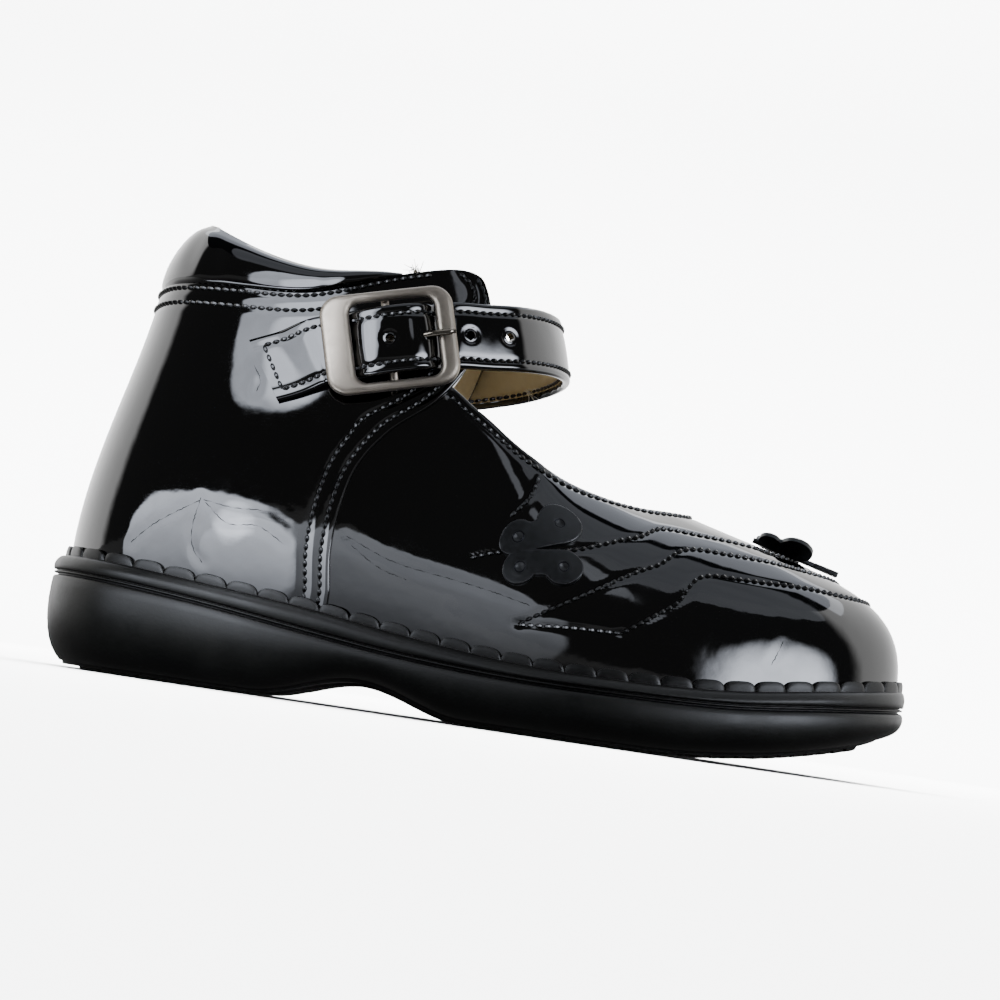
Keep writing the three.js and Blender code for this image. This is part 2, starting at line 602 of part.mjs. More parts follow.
// ---------------------------------------------------------------- strap
function strapPath() {
  const rows = STRAP_END.map((row) => skinPoint(row, LATERAL));
  const toShoe = (x, z) => new THREE.Vector3(x, 0, z).applyMatrix4(buckleGroup.matrix);
  const away = new THREE.Vector3().setFromMatrixColumn(buckleGroup.matrix, 2);
  for (const row of STRAP_IN_BUCKLE) {
    rows.push({ point: toShoe(row.along, row.lift), normal: away });
  }
  STRAP_SPAN.forEach((row, i) => {
    const before = STRAP_SPAN[Math.max(i - 1, 0)];
    const after = STRAP_SPAN[Math.min(i + 1, STRAP_SPAN.length - 1)];
    const back = new THREE.Vector3(-SPAN_LEAN, 0, 1);
    const forward = new THREE.Vector3(after.x - before.x, after.y - before.y, 0);
    rows.push({ point: new THREE.Vector3(row.x, row.y, row.z),
      normal: forward.cross(back).normalize() });
  });
  rows.push(...STRAP_ROOT.map((row) => skinPoint(row, MEDIAL)));
  const points = new THREE.CatmullRomCurve3(rows.map((row) => row.point));
  const normals = new THREE.CatmullRomCurve3(rows.map((row) => row.normal));
  return (t) => {
    const point = points.getPoint(t);
    const forward = points.getTangent(t);
    const across = normals.getPoint(t).cross(forward).normalize();
    return { point, forward, across, normal: forward.clone().cross(across).normalize() };
  };
}
const strapAt = strapPath();

// The strap's t a given length along it from a given t.
function strapStep(from, length) {
  const step = Math.sign(length) * 5e-4;
  let t = from;
  let here = strapAt(t).point;
  for (let gone = 0; gone < Math.abs(length);) {
    t += step;
    const next = strapAt(t).point;
    gone += next.distanceTo(here);
    here = next;
  }
  return t;
}

function makeStrap() {
  const halfWidth = STRAP.width / 2;
  const halfThick = STRAP.thick / 2;
  const section = [
    [-halfWidth, halfThick - STRAP.edge], [-halfWidth + STRAP.edge, halfThick],
    [halfWidth - STRAP.edge, halfThick], [halfWidth, halfThick - STRAP.edge],
    [halfWidth, -halfThick + STRAP.edge], [halfWidth - STRAP.edge, -halfThick],
    [-halfWidth + STRAP.edge, -halfThick], [-halfWidth, -halfThick + STRAP.edge],
  ];
  const stations = 60;
  const slanted = 3; // stations over which the free end's slanted cut runs out
  const loops = Array.from({ length: stations + 1 }, (_, i) => {
    const t = i / stations;
    const { point, forward, across, normal } = strapAt(t);
    const cut = STRAP.slant * Math.max(0, 1 - i / slanted);
    return section.map(([w, h]) => point.clone().addScaledVector(across, w)
      .addScaledVector(forward, -cut * w).addScaledVector(normal, h));
  });
  let strap = toSolid(loft(loops));

  const wide = prongTube(PRONG.radius + PRONG.clearance);
  wide.applyMatrix4(buckleGroup.matrix);
  strap = strap.subtract(toSolid(wide));
  const rows = STRAP_END.length + STRAP_IN_BUCKLE.length + STRAP_SPAN.length + STRAP_ROOT.length;
  const prongHole = (STRAP_END.length + PRONG_HOLE_ROW) / (rows - 1);
  for (const count of [-2, -1, 1, 2]) {
    const { point, normal } = strapAt(strapStep(prongHole, count * STRAP.holePitch));
    const drill = new THREE.CylinderGeometry(STRAP.holeRadius, STRAP.holeRadius, 4, 10);
    drill.applyQuaternion(new THREE.Quaternion()
      .setFromUnitVectors(new THREE.Vector3(0, 1, 0), normal));
    drill.translate(point.x, point.y, point.z);
    strap = strap.subtract(toSolid(drill));
  }
  return toGeometry(strap);
}

// ---------------------------------------------------------------- butterfly
function ridgePoint(x) {
  let low = 0;
  let high = 1;
  for (let pass = 0; pass < 30; pass++) {
    const mid = (low + high) / 2;
    if (lastPoint(HALF, mid).x > x) low = mid;
    else high = mid;
  }
  return lastPoint(HALF, low);
}

function makeButterflyBody() {
  const { feelers, tail, thick, chamfer, slitHalf } = BUTTERFLY;
  const half = BUTTERFLY.body / 2;
  const slitEnd = feelers - BUTTERFLY.slit;
  const narrow = half - chamfer;
  const outline = new THREE.Shape([
    [-tail, -narrow], [feelers - chamfer, -half], [feelers, -narrow],
    [feelers, -slitHalf], [slitEnd, -slitHalf], [slitEnd, slitHalf], [feelers, slitHalf],
    [feelers, narrow], [feelers - chamfer, half], [-tail, narrow],
  ].map(([x, y]) => new THREE.Vector2(x, y)));
  return new THREE.ExtrudeGeometry(outline, { depth: thick, bevelEnabled: false });
}

// A wing's outline: a small lobe behind and a large one in front, given on the medial side.
const WING = {
  rear: { x: -5, y: 1.7, radius: 2, from: 250, to: 10 },
  front: { x: -0.2, y: 2.5, radius: 3, from: 189, to: -60 },
};
function makeButterflyWing(side) {
  const outline = new THREE.Shape();
  for (const { x, y, radius, from, to } of [WING.rear, WING.front]) {
    const [start, end] = [from, to].map(THREE.MathUtils.degToRad);
    outline.absarc(x, y, radius, start, end, true);
  }
  const points = outline.getPoints(8).map(({ x, y }) => new THREE.Vector2(x, side * y));
  const wing = new THREE.ExtrudeGeometry(new THREE.Shape(points), {
    depth: BUTTERFLY.thick, bevelEnabled: false,
  });
  wing.rotateX(side * THREE.MathUtils.degToRad(BUTTERFLY.wingTilt));
  wing.translate(0, side * BUTTERFLY.wingRoot, 0);
  return wing;
}

// ---------------------------------------------------------------- the assembly
function piece(name, geometry, color, roughness, metalness = 0) {
  geometry.computeVertexNormals();
  const mesh = new THREE.Mesh(geometry, new THREE.MeshStandardMaterial({
    color, roughness, metalness,
  }));
  mesh.name = name;
  return mesh;
}

const PATENT = '#050608';
const RUBBER = '#1d1f21';
const LINING = '#c3ad8b';
const NICKEL = '#a8a49c';

const shoe = new THREE.Group();
shoe.add(piece('outsole', makeOutsole(), RUBBER, 0.55));
shoe.add(piece('welt', makeWelt(), RUBBER, 0.5));
shoe.add(piece('insole', makeInsole(), LINING, 0.8));
shoe.add(piece('upper', makeUpper(), PATENT, 0.08));
shoe.add(piece('collar', makeCollar(), PATENT, 0.08));
shoe.add(piece('strap', makeStrap(), PATENT, 0.08));

buckleGroup.add(piece('buckle_frame', makeBuckleFrame(), NICKEL, 0.3, 1));
buckleGroup.add(piece('buckle_prong', prongTube(PRONG.radius), NICKEL, 0.25, 1));
buckleGroup.add(piece('buckle_tab', makeTab(), PATENT, 0.1));
shoe.add(buckleGroup);

const butterfly = new THREE.Group();
butterfly.position.copy(ridgePoint(BUTTERFLY.x)).add(new THREE.Vector3(0, 0, BUTTERFLY.lift));
butterfly.rotation.y = THREE.MathUtils.degToRad(BUTTERFLY.tilt);
butterfly.add(piece('butterfly_body', makeButterflyBody(), PATENT, 0.2));
butterfly.add(piece('butterfly_wing_lateral', makeButterflyWing(LATERAL), PATENT, 0.2));
butterfly.add(piece('butterfly_wing_medial', makeButterflyWing(MEDIAL), PATENT, 0.2));
shoe.add(butterfly);

// The origin is the middle of the bounding box, on the ground.
shoe.updateMatrixWorld(true);
const box = new THREE.Box3().setFromObject(shoe, true);
const middle = box.getCenter(new THREE.Vector3());
shoe.position.set(-middle.x, -middle.y, -box.min.z);

export default shoe;
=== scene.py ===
import math

import bpy
import numpy as np
from mathutils import Matrix, Vector


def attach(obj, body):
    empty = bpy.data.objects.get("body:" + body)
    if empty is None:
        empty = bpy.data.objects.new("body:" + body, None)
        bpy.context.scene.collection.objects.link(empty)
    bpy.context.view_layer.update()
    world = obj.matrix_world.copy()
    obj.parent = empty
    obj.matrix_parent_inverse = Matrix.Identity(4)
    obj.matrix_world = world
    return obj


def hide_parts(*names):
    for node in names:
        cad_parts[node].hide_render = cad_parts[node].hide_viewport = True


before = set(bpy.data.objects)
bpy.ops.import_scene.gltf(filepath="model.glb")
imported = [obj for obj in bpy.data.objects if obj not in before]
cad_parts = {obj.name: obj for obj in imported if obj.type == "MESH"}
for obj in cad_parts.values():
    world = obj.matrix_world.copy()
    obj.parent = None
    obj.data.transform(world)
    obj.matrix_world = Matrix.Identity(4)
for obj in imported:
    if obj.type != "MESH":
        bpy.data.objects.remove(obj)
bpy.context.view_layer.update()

# ------------------------------------------------------------------------------ the last
# The wooden form that a toddler's right shoe is drawn over. It leaves the finished shoe, but
# every leather piece keeps its surface, so it is set out first. Sizes are millimetres from the
# heel's back and the foot of the sole's side wall; +X is the toe, +Y the medial side.
MM = 0.001
SHOE_AT = np.array((-76.478, -0.556, 1.0))  # that corner in the frame, whose origin is mid-sole
MEDIAL, LATERAL = 1, -1
HEEL_CENTRE, TOE_CENTRE = 27.0, 98.0  # the heel and the toe fan out about these
TOE_TIP = 152.0
TOE_SWING, SWING_START = 2.4, 60.0
SEAT = 1.5  # the upper stands this far below the sole's lip
QUARTER_PROUD = 0.9  # the quarter's folded leather over the vamp's

# heights along the sole: x, groove, lip
SOLE_HEIGHTS = np.array((
    (0, 14.9, 18.3), (12, 14.3, 17.8), (30, 12.6, 16.3), (48, 10.4, 14.6), (65, 8.6, 12.4),
    (83, 7.6, 10.6), (100, 7.6, 10.3), (118, 8.3, 11.2), (135, 10.3, 13.6), (152, 12.3, 16.2),
))
# sections from the heel's back to the toe's tip: x, outer and inner half widths at the foot,
# x, half width and z of the top line, then the shape between: rise, bulge, reach, drop, swell
SECTIONS = np.array((
    (4.2, 0, 0, 12.3, 0, 66.7, 0.35, 0.5, 0.1, 0.29, 0.5),
    (6.9, 12.0, 12.0, 14.5, 11.7, 66.8, 0.35, 0.9, 0.1, 0.3, 0.8),
    (14.5, 19.3, 19.2, 20.4, 18.8, 66.9, 0.34, 1.6, 0.1, 0.32, 1.4),
    (26.5, 22.0, 21.8, 30.5, 21.5, 67.1, 0.33, 2.2, 0.05, 0.33, 2.0),
    (38.5, 22.0, 21.4, 40.5, 22.0, 68.1, 0.33, 2.3, 0.0, 0.33, 2.1),
    (50.5, 21.7, 20.5, 50.5, 21.6, 71.6, 0.33, 2.2, 0.0, 0.33, 2.0),
    (63.5, 22.9, 21.3, 60.5, 20.9, 74.8, 0.33, 2.0, 0.0, 0.33, 1.6),
    (76.5, 25.5, 24.4, 69.3, 19.9, 73.6, 0.35, 1.7, 0.05, 0.33, 1.0),
    (89.5, 27.8, 27.3, 75.6, 18.9, 60.5, 0.4, 1.6, 0.15, 0.3, 0.6),
    (102.5, 28.5, 28.6, 82, 17.3, 48.5, 0.5, 1.6, 0.3, 0.26, 0.6),
    (115.2, 27.6, 27.8, 89.5, 15.6, 43.2, 0.56, 1.4, 0.44, 0.22, 0.5),
    (127.5, 25.1, 25.2, 97.5, 13.3, 40.9, 0.6, 1.2, 0.55, 0.2, 0.3),
    (137.5, 21.1, 21.2, 103.5, 10.2, 40.9, 0.63, 1.1, 0.62, 0.22, 0),
    (144.8, 15.8, 15.8, 106.9, 6.8, 41.2, 0.64, 1.0, 0.66, 0.26, 0),
    (149.3, 9.0, 9.0, 108.3, 3.4, 41.5, 0.68, 1.2, 0.69, 0.3, 0),
    (150.7, 0, 0, 108.7, 0, 41.6, 0.69, 1.2, 0.7, 0.31, 0),
))
HALF = len(SECTIONS) - 1  # sections between the heel's back and the toe's tip
ROUND = 2 * HALF


def along(xs, ys, at):
    """The smooth line through the points (xs, ys), read at one or many places."""
    xs, ys, at = np.asarray(xs, float), np.asarray(ys, float), np.asarray(at, float)
    last = len(xs) - 1
    index = np.arange(last + 1)
    before, after = np.maximum(index - 1, 0), np.minimum(index + 1, last)
    slopes = (ys[after] - ys[before]) / (xs[after] - xs[before])
    i = np.clip(np.searchsorted(xs, at, side="left") - 1, 0, last - 1)
    width = xs[i + 1] - xs[i]
    t = np.clip((at - xs[i]) / width, 0, 1)
    return ((1 + 2 * t) * (1 - t) ** 2 * ys[i] + t * (1 - t) ** 2 * width * slopes[i]
            + t * t * (3 - 2 * t) * ys[i + 1] - t * t * (1 - t) * width * slopes[i + 1])


SPLINE_ROUNDS = 24  # of closing in on the control points


def closed_spline(points):
    """A closed curve of even curvature through the points, one unit of u for each."""
    count = len(points)
    hold = points.copy()
    for _ in range(SPLINE_ROUNDS):
        for i in range(count):
            hold[i] += points[i] - (hold[i - 1] + hold[(i + 1) % count] + 4 * hold[i]) / 6

    def at(u):
        whole = np.floor(u)
        t = (u - whole)[..., None]
        i = whole.astype(int)
        return ((1 - t) ** 3 * hold[(i - 1) % count]
                + (3 * t ** 3 - 6 * t * t + 4) * hold[i % count]
                + (-3 * t ** 3 + 3 * t * t + 3 * t + 1) * hold[(i + 1) % count]
                + t ** 3 * hold[(i + 2) % count]) / 6
    return at


def unit(vectors):
    return vectors / np.linalg.norm(vectors, axis=-1, keepdims=True)


def groove_at(x):
    return along(SOLE_HEIGHTS[:, 0], SOLE_HEIGHTS[:, 1], x)


def lip_at(x):
    return along(SOLE_HEIGHTS[:, 0], SOLE_HEIGHTS[:, 2], x)


def swing_at(x):
    return TOE_SWING * np.maximum(0, (x - SWING_START) / (TOE_TIP - SWING_START)) ** 2


def section(k):
    """The four points that shape section k, from the foot line up to the top line."""
    side = LATERAL if k <= HALF else MEDIAL
    (x, outer, inner, top_x, top_half, top_z, rise, bulge, reach, drop, swell) = (
        SECTIONS[k if k <= HALF else ROUND - k])
    half = outer if side == LATERAL else inner
    foot = np.array((x, swing_at(x) + side * half, lip_at(x) - SEAT))
    top = np.array((top_x, swing_at(top_x) + side * top_half, top_z))
    spine = min(max(x, HEEL_CENTRE), TOE_CENTRE)
    out = unit(np.array((foot[0] - spine, foot[1] - swing_at(spine), 0.0)))
    height = top[2] - foot[2]
    low = foot + bulge * out
    low[2] += rise * height
    high = top + reach * (foot - top) + swell * out
    high[2] = top[2] - drop * height
    return foot, low, high, top


section_points = np.array([section(k) for k in range(ROUND)])
guides = [closed_spline(section_points[:, g]) for g in range(4)]


def last_point(u, v):
    """The last's surface: u counts sections round from the heel, v rises from the foot line."""
    u, v = np.broadcast_arrays(np.asarray(u, float), np.asarray(v, float))
    w = 1 - v
    shares = (w ** 3, 3 * w * w * v, 3 * w * v * v, v ** 3)
    return sum(guide(u) * share[..., None] for guide, share in zip(guides, shares))


def last_normal(u, v):
    step = 1e-3
    along_u = last_point(u + step, v) - last_point(u - step, v)
    along_v = last_point(u, v + step) - last_point(u, v - step)
    return unit(np.cross(along_u, along_v))


def off_last(u, v, out):
    return last_point(u, v) + last_normal(u, v) * np.asarray(out)[..., None]


def locate(spots, side):
    """Where on the last the points (x, z) of one side lie: an array of (u, v)."""
    spots = np.asarray(spots, float)
    turned = (lambda u: u) if side == LATERAL else (lambda u: ROUND - u)
    us, vs = np.meshgrid(np.arange(1, HALF - 0.5, 0.5), np.linspace(0, 1, 11), indexing="ij")
    seen = last_point(turned(us), vs)[..., (0, 2)].reshape(-1, 2)
    nearest = np.linalg.norm(seen[None] - spots[:, None], axis=-1).argmin(1)
    u, v = us.ravel()[nearest], vs.ravel()[nearest]
    step = 1e-3
    for _ in range(8):
        here = last_point(turned(u), v)
        du = (last_point(turned(u + step), v) - here) / step
        dv = (last_point(turned(u), v + step) - here) / step
        area = du[:, 0] * dv[:, 2] - du[:, 2] * dv[:, 0]
        gap_x, gap_z = spots[:, 0] - here[:, 0], spots[:, 1] - here[:, 2]
        u = u + (gap_x * dv[:, 2] - gap_z * dv[:, 0]) / area
        v = v + (gap_z * du[:, 0] - gap_x * du[:, 2]) / area
    return np.stack((turned(u), v), axis=-1)


# ------------------------------------------------------------------------------ insole
# A thin sock of pale pigskin glued over a fibre board, laid in the seat of the shoe. Its top
# shows from above through the collar and the throat, matt and slightly wrinkled.
SEAT_FLOOR = 0.3  # the seat lies this far under the upper
INSOLE_INSET = 2.5  # from the upper's foot line
INSOLE_POINTS = 180  # round its edge
# how far in from the edge, and how high over the seat, each ring of its section lies
INSOLE_SECTION = ((0.5, 0.3), (0.1, 0.5), (0, 0.9), (0, 1.7), (0.15, 2.05), (0.5, 2.2), (2, 2.25),
                  (5, 2.15), (9, 2.05), (14, 2.0))


def linear(hex_colour):
    """An sRGB hex colour as a linear RGBA colour."""
    parts = [int(hex_colour[i:i + 2], 16) / 255 for i in (1, 3, 5)]
    return (*(c / 12.92 if c <= 0.04045 else ((c + 0.055) / 1.055) ** 2.4 for c in parts), 1.0)


def node(tree, kind, settings=None, **links):
    """Adds a node: settings go to its properties or inputs, links join its inputs to sockets.

    A link to a whole node joins its first output. An input that shares its name with another
    goes by its number: 6 and 7 are the colours of a mix, and 0, 1 and 2 the terms of a sum.
    """
    made = tree.nodes.new("ShaderNode" + kind)
    for key, value in (settings or {}).items():
        if isinstance(key, str) and hasattr(made, key):
            setattr(made, key, value)
        else:
            made.inputs[key].default_value = value
    for key, source in links.items():
        name = int(key[1:]) if key[1:].isdigit() else key.replace("_", " ")
        socket = source.outputs[0] if hasattr(source, "outputs") else source
        tree.links.new(made.inputs[name], socket)
    return made


def new_material(name):
    material = bpy.data.materials.new(name)
    material.use_nodes = True
    material.node_tree.nodes.clear()
    return material, material.node_tree


def place_material(name, shader_settings, build=None):
    """A material of one Principled shader; build(tree) gives what joins its sockets."""
    material, tree = new_material(name)
    links = build(tree) if build else {}
    shader = node(tree, "BsdfPrincipled", shader_settings, **links)
    node(tree, "OutputMaterial", None, Surface=shader)
    return material


def add_piece(name, points, faces, material, slot, smooth_below=40.0):
    """A piece of the shoe from points in millimetres, riding on the shoe."""
    mesh = bpy.data.meshes.new(name)
    placed = (np.asarray(points, float).reshape(-1, 3) + SHOE_AT) * MM
    mesh.from_pydata(placed.tolist(), [], [list(map(int, face)) for face in faces])
    mesh.validate()
    mesh.update()
    mesh.materials.append(material)
    mesh.shade_smooth()
    mesh.set_sharp_from_angle(angle=math.radians(smooth_below))
    piece = bpy.data.objects.new(name, mesh)
    bpy.context.scene.collection.objects.link(piece)
    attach(piece, "root")
    return piece


def loft(loops, ring=False):
    """Points and faces of a solid through loops of equal counts, its faces pointing out."""
    loops = np.asarray(loops, float)
    count, size = loops.shape[:2]
    steps = count if ring else count - 1
    i, j = np.meshgrid(np.arange(steps), np.arange(size), indexing="ij")
    here, after, k = i * size, ((i + 1) % count) * size, (j + 1) % size
    faces = np.stack((here + j, here + k, after + k, after + j), axis=-1).reshape(-1, 4)
    if not ring:
        end = (count - 1) * size
        j = np.arange(size // 2 - 1)
        faces = np.concatenate((faces,
            np.stack((j, size - 1 - j, size - 2 - j, j + 1), axis=-1),
            np.stack((end + j, end + j + 1, end + size - 2 - j, end + size - 1 - j), axis=-1)))
    points = loops.reshape(-1, 3)
    corners = points[faces]
    volume = np.einsum("ij,ij->", corners[:, 0], np.cross(corners[:, 1], corners[:, 2]))
    volume += np.einsum("ij,ij->", corners[:, 0], np.cross(corners[:, 2], corners[:, 3]))
    return points, (faces if volume > 0 else faces[:, ::-1])


def pigskin_nodes(tree):
    coords = node(tree, "TexCoord").outputs["Object"]
    pores = node(tree, "TexNoise", {"Scale": 900.0, "Detail": 3.0}, Vector=coords)
    stains = node(tree, "TexNoise", {"Scale": 60.0, "Detail": 4.0, "Roughness": 0.6}, Vector=coords)
    colour = node(tree, "Mix", {"data_type": "RGBA", 6: linear("#e2d5b6"), 7: linear("#c2b28f")},
                  _0=stains)
    creases = node(tree, "TexWave", {"Scale": 60.0, "Distortion": 14.0, "Detail": 3.0,
                                     "Detail Scale": 1.4}, Vector=coords)
    height = node(tree, "Math", {"operation": "MULTIPLY_ADD", 1: 0.5}, _0=creases.outputs["Fac"],
                  _2=pores)
    bump = node(tree, "Bump", {"Strength": 0.35, "Distance": 0.0002}, Height=height)
    return {"Base_Color": colour.outputs[2], "Normal": bump}


# Pigskin lining, shaved and unfinished: pale, matt, with pores and soft wrinkles.
pigskin = place_material("pigskin_lining", {"Roughness": 0.78, "IOR": 1.45}, pigskin_nodes)


def beside_foot(u, out):
    """A point a given way outside the upper's foot line, in plan."""
    foot = guides[0](u)
    step = 1e-3
    heading = guides[0](u + step) - guides[0](u - step)
    normal = unit(np.stack((heading[..., 1], -heading[..., 0], np.zeros_like(u)), axis=-1))
    return foot + normal * np.asarray(out)[..., None]


def make_insole():
    u = (np.arange(INSOLE_POINTS) + 0.5) * ROUND / INSOLE_POINTS
    seat = lip_at(guides[0](u)[:, 0]) - SEAT - SEAT_FLOOR
    rings = []
    for inset, rise in INSOLE_SECTION:
        points = beside_foot(u, np.full_like(u, -INSOLE_INSET - inset))
        points[:, 2] = seat + rise
        rings.append(points)
    return loft(rings)


insole = add_piece("insole_sock", *make_insole(), pigskin, "insole")
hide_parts("insole")

# ------------------------------------------------------------------------------ vamp
# The front of the upper, one piece of patent leather pulled over the last: black hide under a
# clear glossy film, so that it mirrors the room in wavering patches. It runs back under the
# quarters, and five rows of close stitching are sewn over it.
VAMP_WALL = 1.7
VAMP_EDGE = ((60, 58.6), (66.7, 54.8), (71.3, 51.7), (77.2, 47.8), (83, 44.6), (87.5, 42.7),
             (92.5, 41.5))
THROAT_START = 11.0  # from this section round the toe, the throat is the last's own top line
QUARTER_EDGE = ((50.6, 18), (49.8, 25), (50.3, 32.3), (52.2, 39.5), (56.8, 46.2), (63.4, 52),
                (67.2, 57.5), (69.4, 64), (70.6, 69.5))
VAMP_UNDERLAP = 0.8
EDGE_ROUND = 0.45  # radius of a folded or trimmed edge
LINING_FOLLOWS = 0.6  # the share of the outer face's lift that its lining makes


def edge_table(spots, side):
    """An edge of one side as u counted from the heel, against v."""
    found = locate(spots, side)
    return (found[:, 0] if side == LATERAL else ROUND - found[:, 0]), found[:, 1]


quarter_fronts = {side: edge_table(QUARTER_EDGE, side) for side in (LATERAL, MEDIAL)}
vamp_brims = {side: edge_table(VAMP_EDGE, side) for side in (LATERAL, MEDIAL)}


def quarter_front(v, side):
    us, vs = quarter_fronts[side]
    return along(vs, us, np.clip(v, vs[0], vs[-1]))


def vamp_brim(u):
    """The height v of the vamp's top edge at u."""
    heights = np.ones_like(u)
    for side in (LATERAL, MEDIAL):
        us, vs = vamp_brims[side]
        from_heel = u if side == LATERAL else ROUND - u
        here = (u <= HALF) if side == LATERAL else (u > HALF)
        edge = along(np.append(us, THROAT_START), np.append(vs, 1.0), from_heel)
        heights = np.where(here & (from_heel < THROAT_START), edge, heights)
    return heights


def spread(count, length, ends=(True, True)):
    """Shares 0 to 1 across a length, close together at the ends so that edges can be round."""
    close = np.array((0, 0.04, 0.15, 0.35, 0.65, 1.0)) * EDGE_ROUND / length
    shares = np.linspace(0, 1, count)
    if ends[0]:
        shares = np.concatenate((close, shares[shares > 1.6 * close[-1]]))
    if ends[1]:
        shares = np.concatenate((shares[shares < 1 - 1.6 * close[-1]], (1 - close)[::-1]))
    return shares


def edge_drop(points, round_at):
    """How far each point of a grid sinks so that the sheet is round at its a0, a1 or b1 edge."""
    far = np.full(points.shape[:2], np.inf)
    across = np.linalg.norm(np.diff(points, axis=0), axis=-1)
    up = np.linalg.norm(np.diff(points, axis=1), axis=-1)
    start_a = np.concatenate((np.zeros((1, points.shape[1])), across.cumsum(0)))
    start_b = np.concatenate((np.zeros((points.shape[0], 1)), up.cumsum(1)), axis=1)
    if "a0" in round_at:
        far = np.minimum(far, start_a)
    if "a1" in round_at:
        far = np.minimum(far, start_a[-1] - start_a)
    if "b1" in round_at:
        far = np.minimum(far, start_b[:, -1:] - start_b)
    short = np.clip(1 - far / EDGE_ROUND, 0, 1)
    return EDGE_ROUND * (1 - np.sqrt(1 - short * short))


def make_panel(a, b, place, outer, inner, round_at, shape):
    """A panel of the upper as a thick sheet: place(a, b) gives u and v across and up it."""
    u, v = place(a[:, None], b[None, :])
    base, normal = last_point(u, v), last_normal(u, v)
    lift = shape(base)
    drop = edge_drop(base, round_at)
    outside = base + normal * (outer + lift - drop)[..., None]
    inside = base - normal * (inner - LINING_FOLLOWS * lift - drop)[..., None]
    return loft(np.concatenate((outside, inside[:, ::-1]), axis=1))


def way_gone(points):
    """How far along a line each of its points is."""
    return np.concatenate(((0,), np.linalg.norm(np.diff(points, axis=0), axis=-1).cumsum()))


def read_line(at, gone, rows):
    """The rows that go with a line, read at other places along it."""
    return np.stack([np.interp(at, gone, column) for column in rows.T], axis=-1)


def smooth_path(found, spacing):
    """A smooth line on the last through spots of u and v: evenly spaced u and v."""
    steps = way_gone(last_point(found[:, 0], found[:, 1]))
    fine = np.linspace(0, steps[-1], 60 * len(found))
    uv = np.stack((along(steps, found[:, 0], fine), along(steps, found[:, 1], fine)), axis=-1)
    gone = way_gone(last_point(uv[:, 0], uv[:, 1]))
    even = np.linspace(0, gone[-1], max(2, int(round(gone[-1] / spacing)) + 1))
    return read_line(even, gone, uv)


CREASE_STEP = 0.35  # between the points of a crease


def path_on_last(spots, side):
    """A smooth line on one side of the last through (x, z) spots."""
    return smooth_path(locate(spots, side), CREASE_STEP)


NEAR_ENOUGH, AT_A_TIME = 6.0, 4000  # points further than this from a line aren't measured


def nearest(points, line):
    """The distance from each point to a line of close points."""
    flat = points.reshape(-1, 3)
    low, high = line.min(0) - NEAR_ENOUGH, line.max(0) + NEAR_ENOUGH
    index = np.flatnonzero(np.all((flat > low) & (flat < high), axis=1))
    far = np.full(len(flat), 1e3)
    for start in range(0, len(index), AT_A_TIME):
        rows = index[start:start + AT_A_TIME]
        gaps = flat[rows][:, None] - line[None]
        far[rows] = np.sqrt(np.einsum("ijk,ijk->ij", gaps, gaps).min(1))
    return far.reshape(points.shape[:-1])


# the stitch rows over the vamp, seen from the lateral side and then on over the medial one
VAMP_ROWS = {
    "upper": (((73, 26.8), (89.9, 30.7), (99.9, 34.5), (108.9, 37.2)),
              ((114, 29.8), (101.6, 24), (91, 20), (83, 17.6))),
    "middle": (((82.4, 17.0), (93.9, 24.2), (103.6, 30.0), (114.1, 34.4)),
               ((120, 26.5), (112, 21.5), (102.5, 17), (94, 14.6))),
    "lower": (((99.7, 18.0), (107.5, 23.8), (115.9, 30.2)),
              ((127.8, 24), (124.4, 18.5), (119, 15))),
    "lateral_tie": (((82.4, 17.0), (91.4, 17.7), (99.7, 18.0)), ()),
    "medial_tie": ((), ((94, 14.6), (88.6, 15.9), (83, 17.6))),
    "lateral_branch": (((78.6, 34.6), (81.4, 38.4), (82.5, 42.2)), ()),
}
# creases of wear in the vamp: side, (x, z) spots, half width, depth
VAMP_CREASES = (
    (LATERAL, ((52, 27.6), (60, 24.6), (70, 23.0), (84, 20.4)), 1.0, 0.035),
    (LATERAL, ((53, 26.2), (58, 23.2), (63, 21.8)), 0.8, 0.02),
    (LATERAL, ((126.8, 20.8), (125.2, 16.5)), 0.8, 0.03),
    (MEDIAL, ((56, 30), (66, 25), (80, 22)), 1.2, 0.05),
    (MEDIAL, ((120, 20), (128, 22), (134, 20)), 1.2, 0.04),
)
RIDGE_SHARE = 0.45  # of a crease's depth, beside it
THREAD_SINK = 0.16  # how far a row of stitches pulls the leather down
THREAD_PROUD = 0.14  # the middle of the thread over that skin
PATH_STEP = 0.3  # between the points of a row
THROAT_ROW_IN = 1.9  # the throat's stitch row, this far below its edge


def crossing_path(lateral, medial):
    found = [locate(spots, side) for spots, side in ((lateral, LATERAL), (medial, MEDIAL)) if spots]
    return smooth_path(np.concatenate(found), PATH_STEP)


def below_edge(us, edge_v, distance):
    """A line on the last at a given way below an edge."""
    v = edge_v(us)
    rise = np.linalg.norm(last_point(us, v) - last_point(us, v - 0.01), axis=-1) / 0.01
    return np.stack((us, v - distance / rise), axis=-1)


vamp_paths = {name: crossing_path(*rows) for name, rows in VAMP_ROWS.items()}
THROAT_ENDS = 6.4  # the row runs from this section round the toe to the same one inside
throat_us = np.linspace(THROAT_ENDS, ROUND - THROAT_ENDS, 600)
vamp_paths["throat"] = smooth_path(below_edge(throat_us, vamp_brim, THROAT_ROW_IN)[::12],
                                   PATH_STEP)


def line_of(path):
    return last_point(path[:, 0], path[:, 1])


def pulled_down(base, paths, width):
    """How a row of stitches draws the leather down beside it."""
    lift = np.zeros(base.shape[:-1])
    for path in paths:
        lift -= THREAD_SINK * np.exp(-(nearest(base, line_of(path)) / width) ** 2)
    return lift


